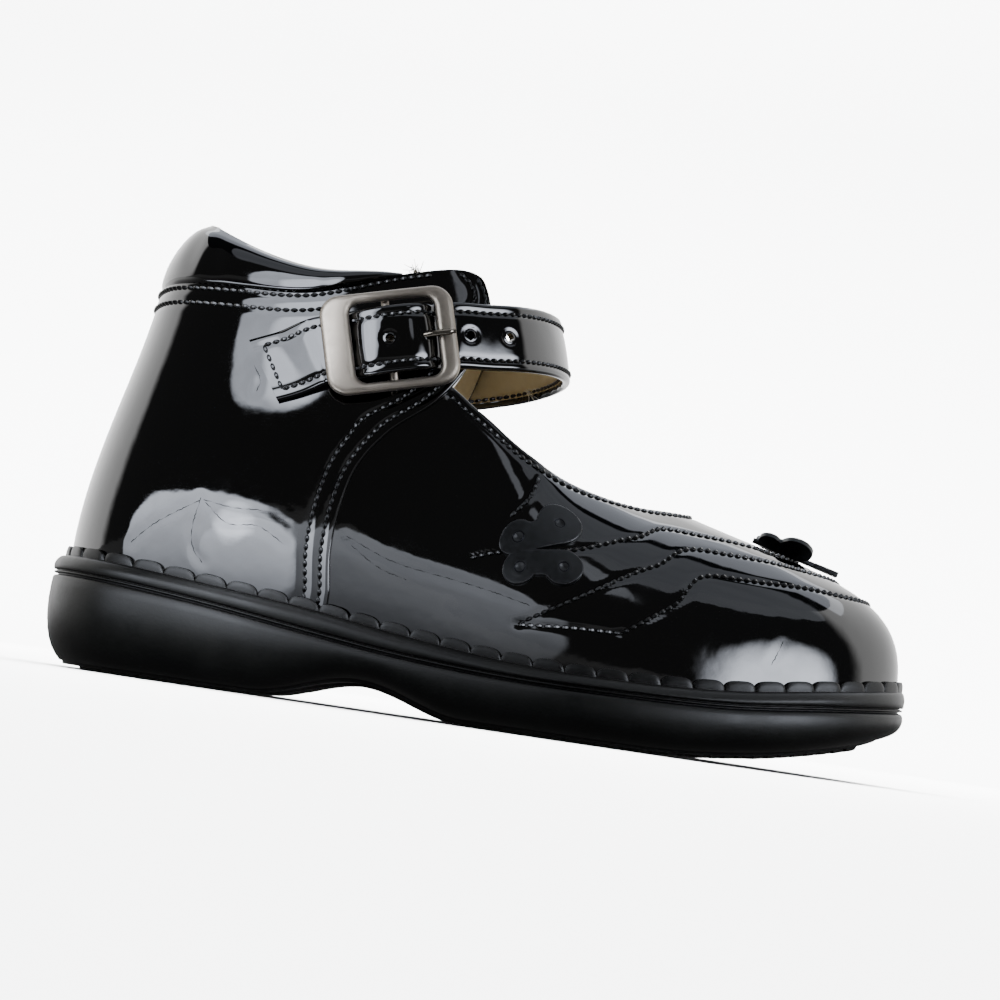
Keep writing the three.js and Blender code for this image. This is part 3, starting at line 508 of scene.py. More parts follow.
def creased(base, creases):
    """Soft troughs with a low ridge to either side."""
    trough = ridge = np.zeros(base.shape[:-1])
    for side, spots, width, depth in creases:
        far = nearest(base, line_of(path_on_last(spots, side)))
        trough = np.maximum(trough, depth * np.exp(-(far / width) ** 2))
        ridge = np.maximum(ridge, depth * np.exp(-((far - 2 * width) / (1.1 * width)) ** 2))
    return RIDGE_SHARE * ridge - trough


def wavering(base, size, depth):
    """The slow unevenness of leather over the last."""
    x, y, z = (base[..., i] / size for i in range(3))
    return depth * (np.sin(x + 0.7 * z + 1.3 * np.sin(0.6 * y)) * np.sin(1.1 * z - 0.4 * x + 0.5)
                    + 0.5 * np.sin(2.3 * x - 1.7 * z + y))


def vamp_shape(base):
    return (pulled_down(base, vamp_paths.values(), 0.62) + creased(base, VAMP_CREASES)
            + wavering(base, 12.0, 0.03))


def vamp_place(a, b):
    rear = [quarter_front(b * vamp_brims[side][1][0], side) - VAMP_UNDERLAP
            for side in (LATERAL, MEDIAL)]
    u = rear[0] + (ROUND - rear[1] - rear[0]) * a
    return u, b * vamp_brim(u)


def patent_nodes(tree):
    coords = node(tree, "TexCoord").outputs["Object"]
    peel = node(tree, "TexNoise", {"Scale": 520.0, "Detail": 2.0, "Roughness": 0.4}, Vector=coords)
    slow = node(tree, "TexNoise", {"Scale": 110.0, "Detail": 2.0}, Vector=coords)
    peel_bump = node(tree, "Bump", {"Strength": 0.10, "Distance": 0.0001}, Height=peel)
    bump = node(tree, "Bump", {"Strength": 0.22, "Distance": 0.0004}, Height=slow, Normal=peel_bump)
    haze = node(tree, "TexNoise", {"Scale": 240.0, "Detail": 5.0, "Roughness": 0.7}, Vector=coords)
    rough = node(tree, "MapRange", {"From Min": 0.45, "From Max": 0.8, "To Min": 0.035,
                                    "To Max": 0.12}, _0=haze)
    return {"Normal": bump, "Roughness": rough}


# Patent leather: black hide under a poured polyurethane film, so a mirror with slight peel.
patent = place_material("patent_leather", {
    "Base Color": linear("#020305"), "IOR": 1.52, "Specular IOR Level": 0.62,
}, patent_nodes)


def line_inside(piece, material, size, first, last):
    """Gives the faces between two rows of every loop of a lofted sheet a lining."""
    piece.data.materials.append(material)
    side_faces = len(piece.data.polygons) - 2 * (size // 2 - 1)
    row = np.arange(side_faces) % size
    index = np.zeros(len(piece.data.polygons), dtype=np.int32)
    index[:side_faces][(row >= first) & (row <= last)] = 1
    piece.data.polygons.foreach_set("material_index", index)


VAMP_AROUND, VAMP_UP = (420, 205.0), (84, 42.0)  # points, and the length that they cover
vamp_a = spread(*VAMP_AROUND)
vamp_b = spread(*VAMP_UP, ends=(False, True))
vamp = add_piece("vamp", *make_panel(vamp_a, vamp_b, vamp_place, 0.0, VAMP_WALL, ("b1",),
                                     vamp_shape), patent, "upper")
line_inside(vamp, pigskin, 2 * len(vamp_b), len(vamp_b) + 1, 2 * len(vamp_b) - 2)
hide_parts("upper")


def stitches(points, normals, pitch=1.4, radius=0.34, share=0.97):
    """A row of lockstitches along close points: each a bowed bead of thread, as mesh data."""
    gone = way_gone(points)
    count = max(1, int(gone[-1] / pitch))
    stations, sides = 5, 6
    turn = np.arange(sides) * 2 * math.pi / sides
    slim = np.array((0.45, 0.85, 1.0, 0.9, 0.5))
    bow = np.array((-0.8, 0.0, 0.3, 0.0, -0.8))
    all_points, all_faces = [], []
    for k in range(count):
        starts = (k + (1 - share) / 2) / count * gone[-1]
        at = starts + np.linspace(0, share * gone[-1] / count, stations)
        middle = read_line(at, gone, points)
        up = unit(read_line(at, gone, normals))
        ahead = unit(middle[-1] - middle[0])
        across = unit(np.cross(up, ahead))
        middle = middle + up * (bow * radius)[:, None]
        loops = (middle[:, None] + across[:, None] * (np.cos(turn)[None, :, None]
                 * (radius * slim)[:, None, None])
                 + up[:, None] * (np.sin(turn)[None, :, None] * (radius * slim)[:, None, None]))
        spots, faces = loft(loops)
        all_faces.append(faces + len(all_points) * len(spots))
        all_points.append(spots)
    return np.concatenate(all_points), np.concatenate(all_faces)


def joined(parts):
    """Several lots of mesh data as one."""
    points, faces, start = [], [], 0
    for spots, part_faces in parts:
        points.append(np.asarray(spots, float))
        faces.extend([[int(i) + start for i in face] for face in part_faces])
        start += len(spots)
    return np.concatenate(points), faces


def on_skin(path, proud, shape, out):
    """Points and normals of a path over the panel's own creased face."""
    base, normals = line_of(path), last_normal(path[:, 0], path[:, 1])
    return base + normals * (proud + shape(base) + out)[:, None], normals


def stitch_path(path, proud, shape):
    return stitches(*on_skin(path, proud, shape, THREAD_PROUD))


def thread_nodes(tree):
    coords = node(tree, "TexCoord").outputs["Object"]
    twist = node(tree, "TexNoise", {"Scale": 3000.0, "Detail": 1.0}, Vector=coords)
    bump = node(tree, "Bump", {"Strength": 0.5, "Distance": 0.0001}, Height=twist)
    return {"Normal": bump}


# Bonded nylon thread: black, with a waxy gleam on each stitch.
nylon = place_material("bonded_nylon_thread", {
    "Base Color": linear("#040506"), "Roughness": 0.28, "IOR": 1.5,
}, thread_nodes)

add_piece("vamp_stitching", *joined(
    [stitch_path(path, 0.0, vamp_shape) for path in vamp_paths.values()]), nylon, "upper")


def tube(centre, radii, sides=14):
    """A round wire along close points, its two ends closed."""
    centre = np.asarray(centre, float)
    heading = unit(np.gradient(centre, axis=0))
    lead = np.array((0.0, 1.0, 0.0)) if abs(heading[0][1]) < 0.9 else np.array((1.0, 0.0, 0.0))
    turn = np.arange(sides) * 2 * math.pi / sides
    loops = []
    for point, way, radius in zip(centre, heading, radii):
        side = unit(np.cross(way, lead))
        up = np.cross(side, way)
        loops.append(point + radius * (np.cos(turn)[:, None] * side + np.sin(turn)[:, None] * up))
    return loft(loops)


CRACK_WIDE, CRACK_PROUD = 0.075, 0.03  # its radius, and its middle over the film


def crack(spots, side, proud, shape):
    """A hairline break in the film along a crease, of uneven width."""
    line, _ = on_skin(path_on_last(spots, side), proud, shape, CRACK_PROUD)
    steps = np.arange(len(line))
    line[:, 0] += 0.06 * np.sin(steps * 1.9 + 1.7 * np.sin(steps * 0.7))
    line[:, 2] += 0.06 * np.sin(steps * 2.3 + 1.3 * np.sin(steps * 0.9))
    return tube(line, CRACK_WIDE * (0.55 + 0.45 * np.sin(steps * 0.83 + np.sin(steps * 0.37))), 6)


# Broken film: the dull black hide shows in hairlines where the patent has cracked with wear.
broken_film = place_material("cracked_film_edge", {"Base Color": linear("#08090b"),
                                                   "Roughness": 0.7})
add_piece("vamp_cracks", *joined([crack(spots, side, 0.0, vamp_shape)
                                  for side, spots, *_ in VAMP_CREASES]), broken_film, "upper")


# ------------------------------------------------------------------------------ quarters
# The back of the upper: one piece of patent leather from the lateral lap round the heel to the
# medial one, its front edges folded and sewn over the vamp with two rows. Along the top it
# is sewn to the padded collar with two rows more, and in front it rises to a rounded lobe.
QUARTER_INNER = 1.9  # its lining's face, in from the last
LOBE_START_V, LOBE_DRAW = 0.9, 0.42  # the lobe's corner is rounded above this height
SEAM_ROWS = (1.7, 4.3)  # rows behind the folded edge
COLLAR_ROWS = (0.9, 3.5)  # rows below the collar's seam
QUARTER_CREASES = (
    (LATERAL, ((27.1, 30.4), (26.4, 24.8), (27.2, 21.6), (28.9, 19.8)), 0.8, 0.05),
    (LATERAL, ((27.1, 30.0), (22.9, 27.2), (19.6, 24.7), (16.5, 21.4)), 0.8, 0.03),
    (LATERAL, ((28.0, 29.7), (32.1, 26.8), (37.1, 27.1), (41.9, 24.7)), 0.8, 0.03),
    (LATERAL, ((27.6, 30.1), (32.8, 29.5), (38.0, 29.7), (42.1, 28.3)), 0.7, 0.02),
    (LATERAL, ((33.5, 49.4), (33.8, 51.4), (32.4, 53.7)), 0.9, 0.05),
    (MEDIAL, ((27.5, 40.5), (25.0, 36.0), (26.5, 32.5)), 1.1, 0.03),
    (MEDIAL, ((25.0, 36.0), (20.5, 34.5)), 1.0, 0.02),
    (MEDIAL, ((26.5, 37.5), (31.5, 38.0), (33.0, 34.5)), 1.0, 0.02),
    (MEDIAL, ((30.0, 52.0), (34.5, 49.5), (40.0, 50.5)), 1.2, 0.05),
)


def rounded_front(v, side):
    """The quarter's front edge with the lobe's corner rounded off."""
    over = np.clip((v - LOBE_START_V) / (1 - LOBE_START_V), 0, 1)
    return quarter_front(v, side) - LOBE_DRAW * (1 - np.sqrt(1 - 0.98 * over ** 2))


def quarter_place(a, b):
    back = ROUND - rounded_front(b, MEDIAL)
    return back + (ROUND + rounded_front(b, LATERAL) - back) * a, b + 0 * a


def behind_front(side, distance):
    """A line on the quarter at a given way behind its front edge."""
    v = np.linspace(0.02, 0.99, 40)
    u = rounded_front(v, side)
    per_u = np.linalg.norm(last_point(u - 0.05, v) - last_point(u, v), axis=-1) / 0.05
    slope_u = np.gradient(u, v)
    per_v = np.linalg.norm(last_point(u, v) - last_point(u, v - 0.01), axis=-1) / 0.01
    lean = np.hypot(1, slope_u * per_u / per_v)
    turned = u - distance * np.minimum(lean, 2.2) / per_u
    path = np.stack((turned if side == LATERAL else ROUND - turned, v), axis=-1)
    return smooth_path(path, PATH_STEP)


quarter_paths = [behind_front(side, distance) for side in (LATERAL, MEDIAL)
                 for distance in SEAM_ROWS]
COLLAR_ENDS = 5.9  # sections from the heel's back to the ends of its rows
collar_us = np.linspace(-COLLAR_ENDS, COLLAR_ENDS, 60)
quarter_paths += [smooth_path(below_edge(collar_us, np.ones_like, distance), PATH_STEP)
                  for distance in COLLAR_ROWS]


def quarter_shape(base):
    return (pulled_down(base, quarter_paths, 0.7) + creased(base, QUARTER_CREASES)
            + wavering(base + 20, 14.0, 0.04))


QUARTER_AROUND, QUARTER_UP = (330, 205.0), (96, 58.0)  # points, and the length that they cover
quarter_a = spread(*QUARTER_AROUND)
quarter_b = spread(*QUARTER_UP, ends=(False, True))
quarters = add_piece("quarters", *make_panel(
    quarter_a, quarter_b, quarter_place, QUARTER_PROUD, QUARTER_INNER, ("a0", "a1", "b1"),
    quarter_shape), patent, "upper")
line_inside(quarters, pigskin, 2 * len(quarter_b), len(quarter_b) + 1, 2 * len(quarter_b) - 2)
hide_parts("upper")
add_piece("quarter_stitching", *joined(
    [stitch_path(path, QUARTER_PROUD, quarter_shape) for path in quarter_paths]), nylon, "upper")
add_piece("quarter_cracks", *joined([crack(spots, side, QUARTER_PROUD, quarter_shape)
                                     for side, spots, *_ in QUARTER_CREASES]), broken_film, "upper")

# ------------------------------------------------------------------------------ collar
# A roll of foam round the ankle under a strip of patent leather, which turns over the top and
# is sewn down inside to the pale lining. It is fullest at the back and runs out at the lobes.
COLLAR_PROUD = 2.2
COLLAR = np.array((  # u, height, thickness, lean inwards in degrees
    (0, 13.8, 7.4, 22), (1, 13.2, 7.4, 19), (2, 11.2, 7.2, 13), (3, 7.3, 6.4, 7),
    (4, 4.5, 5.2, 3), (5, 1.9, 3.2, 0), (5.4, 0.7, 2.0, 0),
))
COLLAR_SECTION = np.array((  # rise, width
    (0, 0.5), (0.06, 0.72), (0.14, 0.86), (0.38, 1), (0.66, 0.94), (0.88, 0.66), (1, 0.16),
))
COLLAR_STATIONS, COLLAR_POINTS = 220, 22
COLLAR_FOLD = 0.1  # depth of the shallow folds across it
COLLAR_SEAT = -0.4  # the roll is pressed this far into the quarter's top edge


def make_collar():
    us = np.linspace(-COLLAR[-1, 0], COLLAR[-1, 0], COLLAR_STATIONS)
    height, thick, lean = (along(COLLAR[:, 0], COLLAR[:, c], np.abs(us)) for c in (1, 2, 3))
    base = last_point(us % ROUND, np.ones_like(us))
    out = last_normal(us % ROUND, np.ones_like(us))
    out[:, 2] = 0
    out = unit(out)
    tilt = np.radians(lean)[:, None]
    up = np.array((0, 0, 1)) * np.cos(tilt) - out * np.sin(tilt)
    middle = np.minimum(COLLAR_PROUD, thick / 2 + 0.2) - thick / 2
    t = np.linspace(0, 1, COLLAR_POINTS)
    rises = np.sin(t * math.pi / 2) ** 1.1
    widths = along(COLLAR_SECTION[:, 0], COLLAR_SECTION[:, 1], rises)
    loops = []
    for sign in (1, -1):
        spots = (base[:, None] + up[:, None] * (rises[None] * height[:, None])[..., None]
                 + out[:, None] * (middle[:, None]
                                   + sign * widths[None] * thick[:, None] / 2)[..., None])
        fold = np.sin(us * 7.3 + 2.2 * np.sin(us * 2.9))[:, None] * np.sin(rises * math.pi)[None]
        spots += out[:, None] * (sign * COLLAR_FOLD * fold * thick[:, None] / 7)[..., None]
        spots[..., 2] += COLLAR_SEAT
        loops.append(spots if sign == 1 else spots[:, ::-1])
    return loft(np.concatenate(loops, axis=1))


collar = add_piece("collar_roll", *make_collar(), patent, "collar")
line_inside(collar, pigskin, 2 * COLLAR_POINTS, COLLAR_POINTS + 5, 2 * COLLAR_POINTS - 2)
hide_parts("collar")

# ------------------------------------------------------------------------------ sole
# One moulding of black rubber: a satin side wall that swells outwards, a rounded lip with a
# double groove under it, an arch, toe spring, and a thinner tread plate with moulded lugs.
SOLE_MARGIN, TOE_MARGIN = 3.7, 1.6
ARCH_HEIGHT, ARCH_START, ARCH_END = 4.05, 39.0, 76.0
TOE_SPRING, SPRING_START, SPRING_POWER = 8.0, 104.0, 1.9
LUG_DEEP = 0.55
TREAD_FLOOR = LUG_DEEP - 1.0  # the tread plate between its lugs, from the foot of the side wall
SOLE_POINTS = 300
SEAT_GAP = 0.3  # between the upper's face and the seat's edge
LAP_END, LAP_FADE = 60.0, 6.0  # the quarters' lap ends here, and the seat steps in


def base_at(x):
    arch = np.clip((x - ARCH_START) / (ARCH_END - ARCH_START), 0, 1)
    spring = np.maximum(0, (x - SPRING_START) / (TOE_TIP - SPRING_START))
    return ARCH_HEIGHT * np.sin(math.pi * arch) ** 2 + TOE_SPRING * spring ** SPRING_POWER


def margin_at(x):
    toward = np.clip((x - TOE_CENTRE) / (TOE_TIP - TOE_CENTRE), 0, 1)
    return SOLE_MARGIN + (TOE_MARGIN - SOLE_MARGIN) * toward ** 2


def proud_at(x):
    return QUARTER_PROUD * np.clip((LAP_END - x) / LAP_FADE, 0, 1)


# share of the way from the seat to the edge, inset from there, and the height: which of lip,
# groove or base it is counted from, the part of the wall between base and groove, and a rise
SOLE_PROFILE = (
    (0, 0, "lip", 0, -1.8), (0, -0.3, "lip", 0, -0.35), (0.12, -0.1, "lip", 0, -0.1),
    (0.3, 0, "lip", 0, 0), (0.5, 0, "lip", 0, -0.06), (0.66, 0, "lip", 0, -0.26),
    (0.8, 0, "lip", 0, -0.6), (0.9, 0, "lip", 0, -1.05), (0.97, 0, "lip", 0, -1.5),
    (1, 0.12, "groove", 0, 1.15), (1, 0.22, "groove", 0, 0.98), (1, 0.72, "groove", 0, 0.86),
    (1, 0.74, "groove", 0, 0.76), (1, 0.3, "groove", 0, 0.64), (1, 0.24, "groove", 0, 0.5),
    (1, 0.32, "groove", 0, 0.36), (1, 0.95, "groove", 0, 0.2), (1, 0.97, "groove", 0, 0.06),
    (1, 0.36, "groove", 0, -0.12), (1, 0.16, "groove", 0, -0.4), (1, 0.05, "wall", 0.86, 0),
    (1, 0, "wall", 0.72, 0), (1, 0.1, "wall", 0.6, 0), (1, 0.3, "wall", 0.48, 0),
    (1, 0.65, "wall", 0.36, 0), (1, 1.15, "wall", 0.25, 0), (1, 1.85, "wall", 0.15, 0),
    (1, 2.7, "wall", 0.07, 0), (1, 3.5, "base", 0, 0.14), (1, 4.0, "base", 0, 0.08),
    (1, 4.12, "base", 0, -0.1), (1, 4.2, "base", 0, TREAD_FLOOR), (1, 6.5, "base", 0, TREAD_FLOOR),
    (1, 10, "base", 0, TREAD_FLOOR), (1, 15, "base", 0, TREAD_FLOOR),
)


def make_sole():
    u = (np.arange(SOLE_POINTS) + 0.5) * ROUND / SOLE_POINTS
    x = guides[0](u)[:, 0]
    lip, groove, base = lip_at(x), groove_at(x), base_at(x)
    seat_edge = proud_at(x) + SEAT_GAP
    rings = []
    for share, inset, counted_from, part, rise in SOLE_PROFILE:
        points = beside_foot(u, seat_edge + share * (margin_at(x) - seat_edge) - inset)
        height = {"lip": lip, "groove": groove, "base": base,
                  "wall": base + part * (groove - base)}[counted_from]
        points[:, 2] = height + rise
        rings.append(points)
    return loft(rings)


def rubber_nodes(tree):
    coords = node(tree, "TexCoord").outputs["Object"]
    grain = node(tree, "TexNoise", {"Scale": 2600.0, "Detail": 2.0}, Vector=coords)
    smears = node(tree, "TexNoise", {"Scale": 95.0, "Detail": 6.0, "Roughness": 0.65},
                  Vector=coords)
    bloom = node(tree, "Mix", {"data_type": "RGBA", 6: linear("#08090a"), 7: linear("#15140f")},
                 _0=smears)
    rough = node(tree, "MapRange", {"From Min": 0.3, "From Max": 0.75, "To Min": 0.34,
                                    "To Max": 0.52}, _0=smears)
    fine = node(tree, "Bump", {"Strength": 0.12, "Distance": 0.0001}, Height=grain)
    bump = node(tree, "Bump", {"Strength": 0.15, "Distance": 0.0004}, Height=smears, Normal=fine)
    return {"Base_Color": bloom.outputs[2], "Roughness": rough, "Normal": bump}


# Moulded rubber: charcoal, with a satin mould skin that shows soft smeared highlights.
rubber = place_material("moulded_rubber", {"IOR": 1.5, "Specular IOR Level": 0.28},
                        rubber_nodes)

sole = add_piece("sole_moulding", *make_sole(), rubber, "outsole", smooth_below=60)
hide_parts("outsole")

# ------------------------------------------------------------------------------ welt
# A ribbon of the same rubber, cut into rounded scallops, that stands up from the sole's lip
# against the upper all round. Each scallop laps a little over the next.
SCALLOP_PITCH, SCALLOP_HEIGHT, SCALLOP_THICK, SCALLOP_SINK = 5.3, 2.2, 0.75, 0.5
SCALLOP_HALF = 0.52  # half its width in pitches, so that each laps the next a little
SCALLOP_GAP, SCALLOP_LEAN = 0.22, 0.12  # off the upper, and how much more at the lapping end
SCALLOP_SQUARE = 3.2  # 2 would make its top a half ellipse
SIDE_WORN, TOP_WORN = 0.35, 0.25  # the share of its thickness lost there
SCALLOP_ACROSS, SCALLOP_UP = 15, 6


def height_on_last(u, z):
    """The v at which the last is as high as z."""
    low, high = np.zeros_like(u), np.full_like(u, 0.5)
    for _ in range(30):
        mid = (low + high) / 2
        under = last_point(u, mid)[..., 2] < z
        low, high = np.where(under, mid, low), np.where(under, high, mid)
    return low


def make_scallops():
    fine = np.linspace(0, ROUND, 3000)
    gone = way_gone(guides[0](fine))
    count = round(gone[-1] / SCALLOP_PITCH)
    t = np.sin(np.linspace(-1, 1, SCALLOP_ACROSS) * math.pi / 2)
    s = np.linspace(0, 1, SCALLOP_UP)
    parts = []
    for k in range(count):
        at = (k + 0.5 + t * SCALLOP_HALF) / count * gone[-1]
        u = np.interp(at % gone[-1], gone, fine)
        x = guides[0](u)[:, 0]
        bottom = lip_at(x) - SCALLOP_SINK
        tall = SCALLOP_SINK + (SCALLOP_HEIGHT - SCALLOP_SINK) * (
            1 - np.abs(t) ** SCALLOP_SQUARE) ** 0.5
        z = bottom[:, None] + tall[:, None] * s[None]
        wide_u = np.broadcast_to(u[:, None], z.shape)
        v = height_on_last(wide_u, z)
        skin = proud_at(x)[:, None] + SCALLOP_GAP + SCALLOP_LEAN * t[:, None]
        dome = (1 - SIDE_WORN * (t ** 8)[:, None]) * (1 - TOP_WORN * s[None] ** 6)
        outer = off_last(wide_u, v, skin + SCALLOP_THICK * dome)
        inner = off_last(wide_u, v, skin + 0 * s[None])
        parts.append(loft(np.concatenate((outer, inner[:, ::-1]), axis=1)))
    return joined(parts)


welt = add_piece("scalloped_welt", *make_scallops(), rubber, "welt", smooth_below=50)
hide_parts("welt")

# ------------------------------------------------------------------------------ tread
# The wearing face of the same moulding: rows of small raised lugs under the heel and the ball
# of the foot, and long curved ribs along the arch.
LUG_PITCH, LUG_SIZE, LUG_ROUND = 3.4, 2.3, 0.35
HEEL_LUGS, BALL_LUGS = (5, 40), (76, 148)  # from x to x
TREAD_INSET = 7.2
RIB_PITCH, RIB_WIDE = 2.4, 1.1
RIBS_FROM, RIBS_TO, RIB_BOW = 42, 74, 0.28  # the bow is the share by which their ends spread


def inside_tread(x, y, margin):
    """Whether a spot of the plan is inside the tread's edge."""
    u = np.linspace(0, ROUND, 400, endpoint=False)
    edge = beside_foot(u, margin_at(guides[0](u)[:, 0]) - TREAD_INSET - margin)[:, :2]
    ahead = np.roll(edge, -1, axis=0)
    crosses = (edge[:, 1] > y) != (ahead[:, 1] > y)
    way = ahead - edge
    at = edge[:, 0] + (y - edge[:, 1]) * way[:, 0] / (way[:, 1] + 1e-9)
    return np.count_nonzero(crosses & (x < at)) % 2 == 1


def lug(x, y, half, turn):
    """A small block with a worn top edge, its foot in the tread's face."""
    cos, sin = math.cos(turn), math.sin(turn)
    loops = []
    for grow, drop in ((0.25, -0.15), (0.1, LUG_DEEP * 0.5), (0, LUG_DEEP * 0.8),
                       (-LUG_ROUND, LUG_DEEP)):
        ring = []
        for sx, sy in ((-1, -1), (1, -1), (1, 1), (-1, 1)):
            dx, dy = sx * (half + grow), sy * (half + grow)
            px, py = x + dx * cos - dy * sin, y + dx * sin + dy * cos
            ring.append((px, py, float(base_at(px)) + TREAD_FLOOR - drop))
        loops.append(ring)
    return loft(loops)


def make_lugs():
    parts = []
    for low, high in (HEEL_LUGS, BALL_LUGS):
        for i, x in enumerate(np.arange(low, high, LUG_PITCH * 0.72)):
            for y in np.arange(-32, 33, LUG_PITCH) + (LUG_PITCH / 2 if i % 2 else 0):
                if inside_tread(x, y, 1.0):
                    parts.append(lug(x, y, LUG_SIZE / 2, math.pi / 4))
    return joined(parts)


def make_ribs():
    parts = []
    for row in np.arange(-6, 7):
        xs = np.linspace(RIBS_FROM, RIBS_TO, 40)
        from_middle = (2 * xs - RIBS_FROM - RIBS_TO) / (RIBS_TO - RIBS_FROM)
        ys = row * RIB_PITCH * (1 + RIB_BOW * from_middle ** 2)
        keep = np.array([inside_tread(x, y, 0.8) for x, y in zip(xs, ys)])
        if keep.sum() < 6:
            continue
        xs, ys = xs[keep], ys[keep]
        ground = base_at(xs) + TREAD_FLOOR
        loops = [[(x, y + side * RIB_WIDE * wide, z - high * LUG_DEEP)
                  for side, wide, high in ((-1, 0.5, -0.3), (-1, 0.42, 0.6), (-1, 0.2, 1),
                                           (1, 0.2, 1), (1, 0.42, 0.6), (1, 0.5, -0.3))]
                 for x, y, z in zip(xs, ys, ground)]
        parts.append(loft(loops))
    return joined(parts)


tread_lugs = add_piece("tread_lugs", *make_lugs(), rubber, "outsole")
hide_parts("outsole")
add_piece("tread_ribs", *make_ribs(), rubber, "outsole")

# ------------------------------------------------------------------------------ buckle tab
# A short strip of patent leather on the lateral quarter, folded round the buckle's middle bar
# and slotted for the prong. It holds the buckle, and the strap's free end lies over it.
# where the buckle's middle is, its tilt in degrees, and its bars
BUCKLE = {"x": 54.3, "z": 60.3, "tilt": 15.4, "length": 22.4, "height": 17.0, "bottom": 4.05,
          "thick": 1.6, "rear_bar": 4.9, "front_bar": 3.1, "side_bar": 1.7}
AXLE_RADIUS, AXLE_HEIGHT, AXLE_PLAY = 0.7, 2.9, 0.25
LEAF_ROUND = 0.3  # of the leather's long edges
TAB = {"length": 11.0, "width": 9.0, "layer": 0.7, "slot": 3.0, "lift": 0.25, "sweep": 112}


def skin_frame(spot, side, lift=0.0):
    """A point over a quarter's skin, and the skin's normal there."""
    (u, v), = locate((spot,), side)
    return off_last(u, v, QUARTER_PROUD + lift), last_normal(u, v)


buckle_at, buckle_out = skin_frame((BUCKLE["x"], BUCKLE["z"]), LATERAL)
tilt = math.radians(BUCKLE["tilt"])
buckle_ahead = unit(np.cross((-math.sin(tilt), 0, math.cos(tilt)), buckle_out))
buckle_axes = np.stack((buckle_ahead, np.cross(buckle_out, buckle_ahead), buckle_out))


def on_buckle(points):
    """Points given along, across and out from the buckle's middle, moved to the shoe."""
    return buckle_at + np.asarray(points, float) @ buckle_axes


def moved(place, part):
    """Mesh data with its points moved by place."""
    points, faces = part
    return place(points), faces


def ribbon(centre, half_thick, half_width, across):
    """A flat strip along a line in the buckle's middle plane, with softened long edges."""
    centre = np.asarray(centre, float)
    heading = unit(np.gradient(centre, axis=0))
    normal = np.stack((-heading[:, 1], heading[:, 0]), axis=-1)
    corner = ((half_width - LEAF_ROUND, 1), (half_width - 0.4 * LEAF_ROUND, 0.85),
              (half_width, 0.4))
    profile = [(side * wide, up * high)
               for side, up, order in ((-1, 1, -1), (1, 1, 1), (1, -1, -1), (-1, -1, 1))
               for wide, high in corner[::order]]
    return loft([[(x + nx * high * half_thick, wide + across, z + nz * high * half_thick)
                  for wide, high in profile] for (x, z), (nx, nz) in zip(centre, normal)])


def make_tab():
    layer = TAB["layer"]
    loop = AXLE_RADIUS + AXLE_PLAY + layer / 2
    turns = np.radians(np.linspace(-TAB["sweep"], TAB["sweep"], 24))
    fold = np.stack((loop * np.cos(turns), AXLE_HEIGHT + loop * np.sin(turns)), axis=-1)
    under = np.stack((np.linspace(-TAB["length"], -2.4, 12), np.linspace(
        TAB["lift"] + layer / 2, TAB["lift"] + layer / 2 + 0.5, 12)), axis=-1)
    over = np.stack((np.linspace(-2.6, -TAB["length"], 12), np.linspace(
        TAB["lift"] + 1.5 * layer + 0.9, TAB["lift"] + 1.5 * layer, 12)), axis=-1)
    strip_width = (TAB["width"] - TAB["slot"]) / 2
    parts = [ribbon(np.concatenate((under[-3:], fold, over[:3])), layer / 2, strip_width / 2,
                    side * (TAB["slot"] + strip_width) / 2) for side in (-1, 1)]
    parts += [ribbon(leaf, layer / 2, TAB["width"] / 2, 0.0) for leaf in (under[:10], over[2:])]
    return moved(on_buckle, joined(parts))


tab = add_piece("buckle_loop", *make_tab(), patent, "buckle_tab")
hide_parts("buckle_tab")

# ------------------------------------------------------------------------------ buckle
# A centre-bar buckle stamped from brass and nickel plated, tumbled to a satin face with bright
# bevels. Its plain rear bar is the wide one. The wire prong turns on the middle bar, comes up
# through a hole of the strap and rests on the front bar.
OUTER_CORNER, WINDOW_CORNER = 3.5, 1.9
CORNER_STEPS = 10
PRONG = {"radius": 0.55, "reach": 11.0}
# the frame's section: up its outer edge, how far in from there and how high, then down the
# window's edge, how far out from there and how high
OUTER_SECTION = ((0.35, 0.0), (0.08, 0.12), (0, 0.4), (0, 0.85), (0.1, 1.15), (0.32, 1.4),
                 (0.62, 1.54), (0.95, 1.6))
WINDOW_SECTION = ((1.15, 1.6), (0.8, 1.55), (0.45, 1.38), (0.16, 1.1), (0.02, 0.8), (0, 0.4),
                  (0.1, 0.1), (0.35, 0.0))
AXLE_BEND = 0.35  # cut off each corner of the middle bar
# how far along the prong, and the share of its climb to the front bar
PRONG_RISE = ((0.25, 0.14), (0.5, 0.56), (0.7, 0.95), (0.86, 1), (1, 1))


def rounded_outline(left, right, low, high, radius):
    """A rectangle with round corners, as evenly turned points."""
    points = []
    for cx, cy, start in ((right - radius, high - radius, 0), (left + radius, high - radius, 90),
                          (left + radius, low + radius, 180), (right - radius, low + radius, 270)):
        for step in range(CORNER_STEPS + 1):
            turn = math.radians(start + 90 * step / CORNER_STEPS)
            points.append((cx + radius * math.cos(turn), cy + radius * math.sin(turn)))
    filled = []
    for i, (x, y) in enumerate(points):
        nx, ny = points[(i + 1) % len(points)]
        steps = 8 if math.hypot(nx - x, ny - y) > 2 else 1
        for k in range(steps):
            filled.append((x + (nx - x) * k / steps, y + (ny - y) * k / steps))
    return np.array(filled)


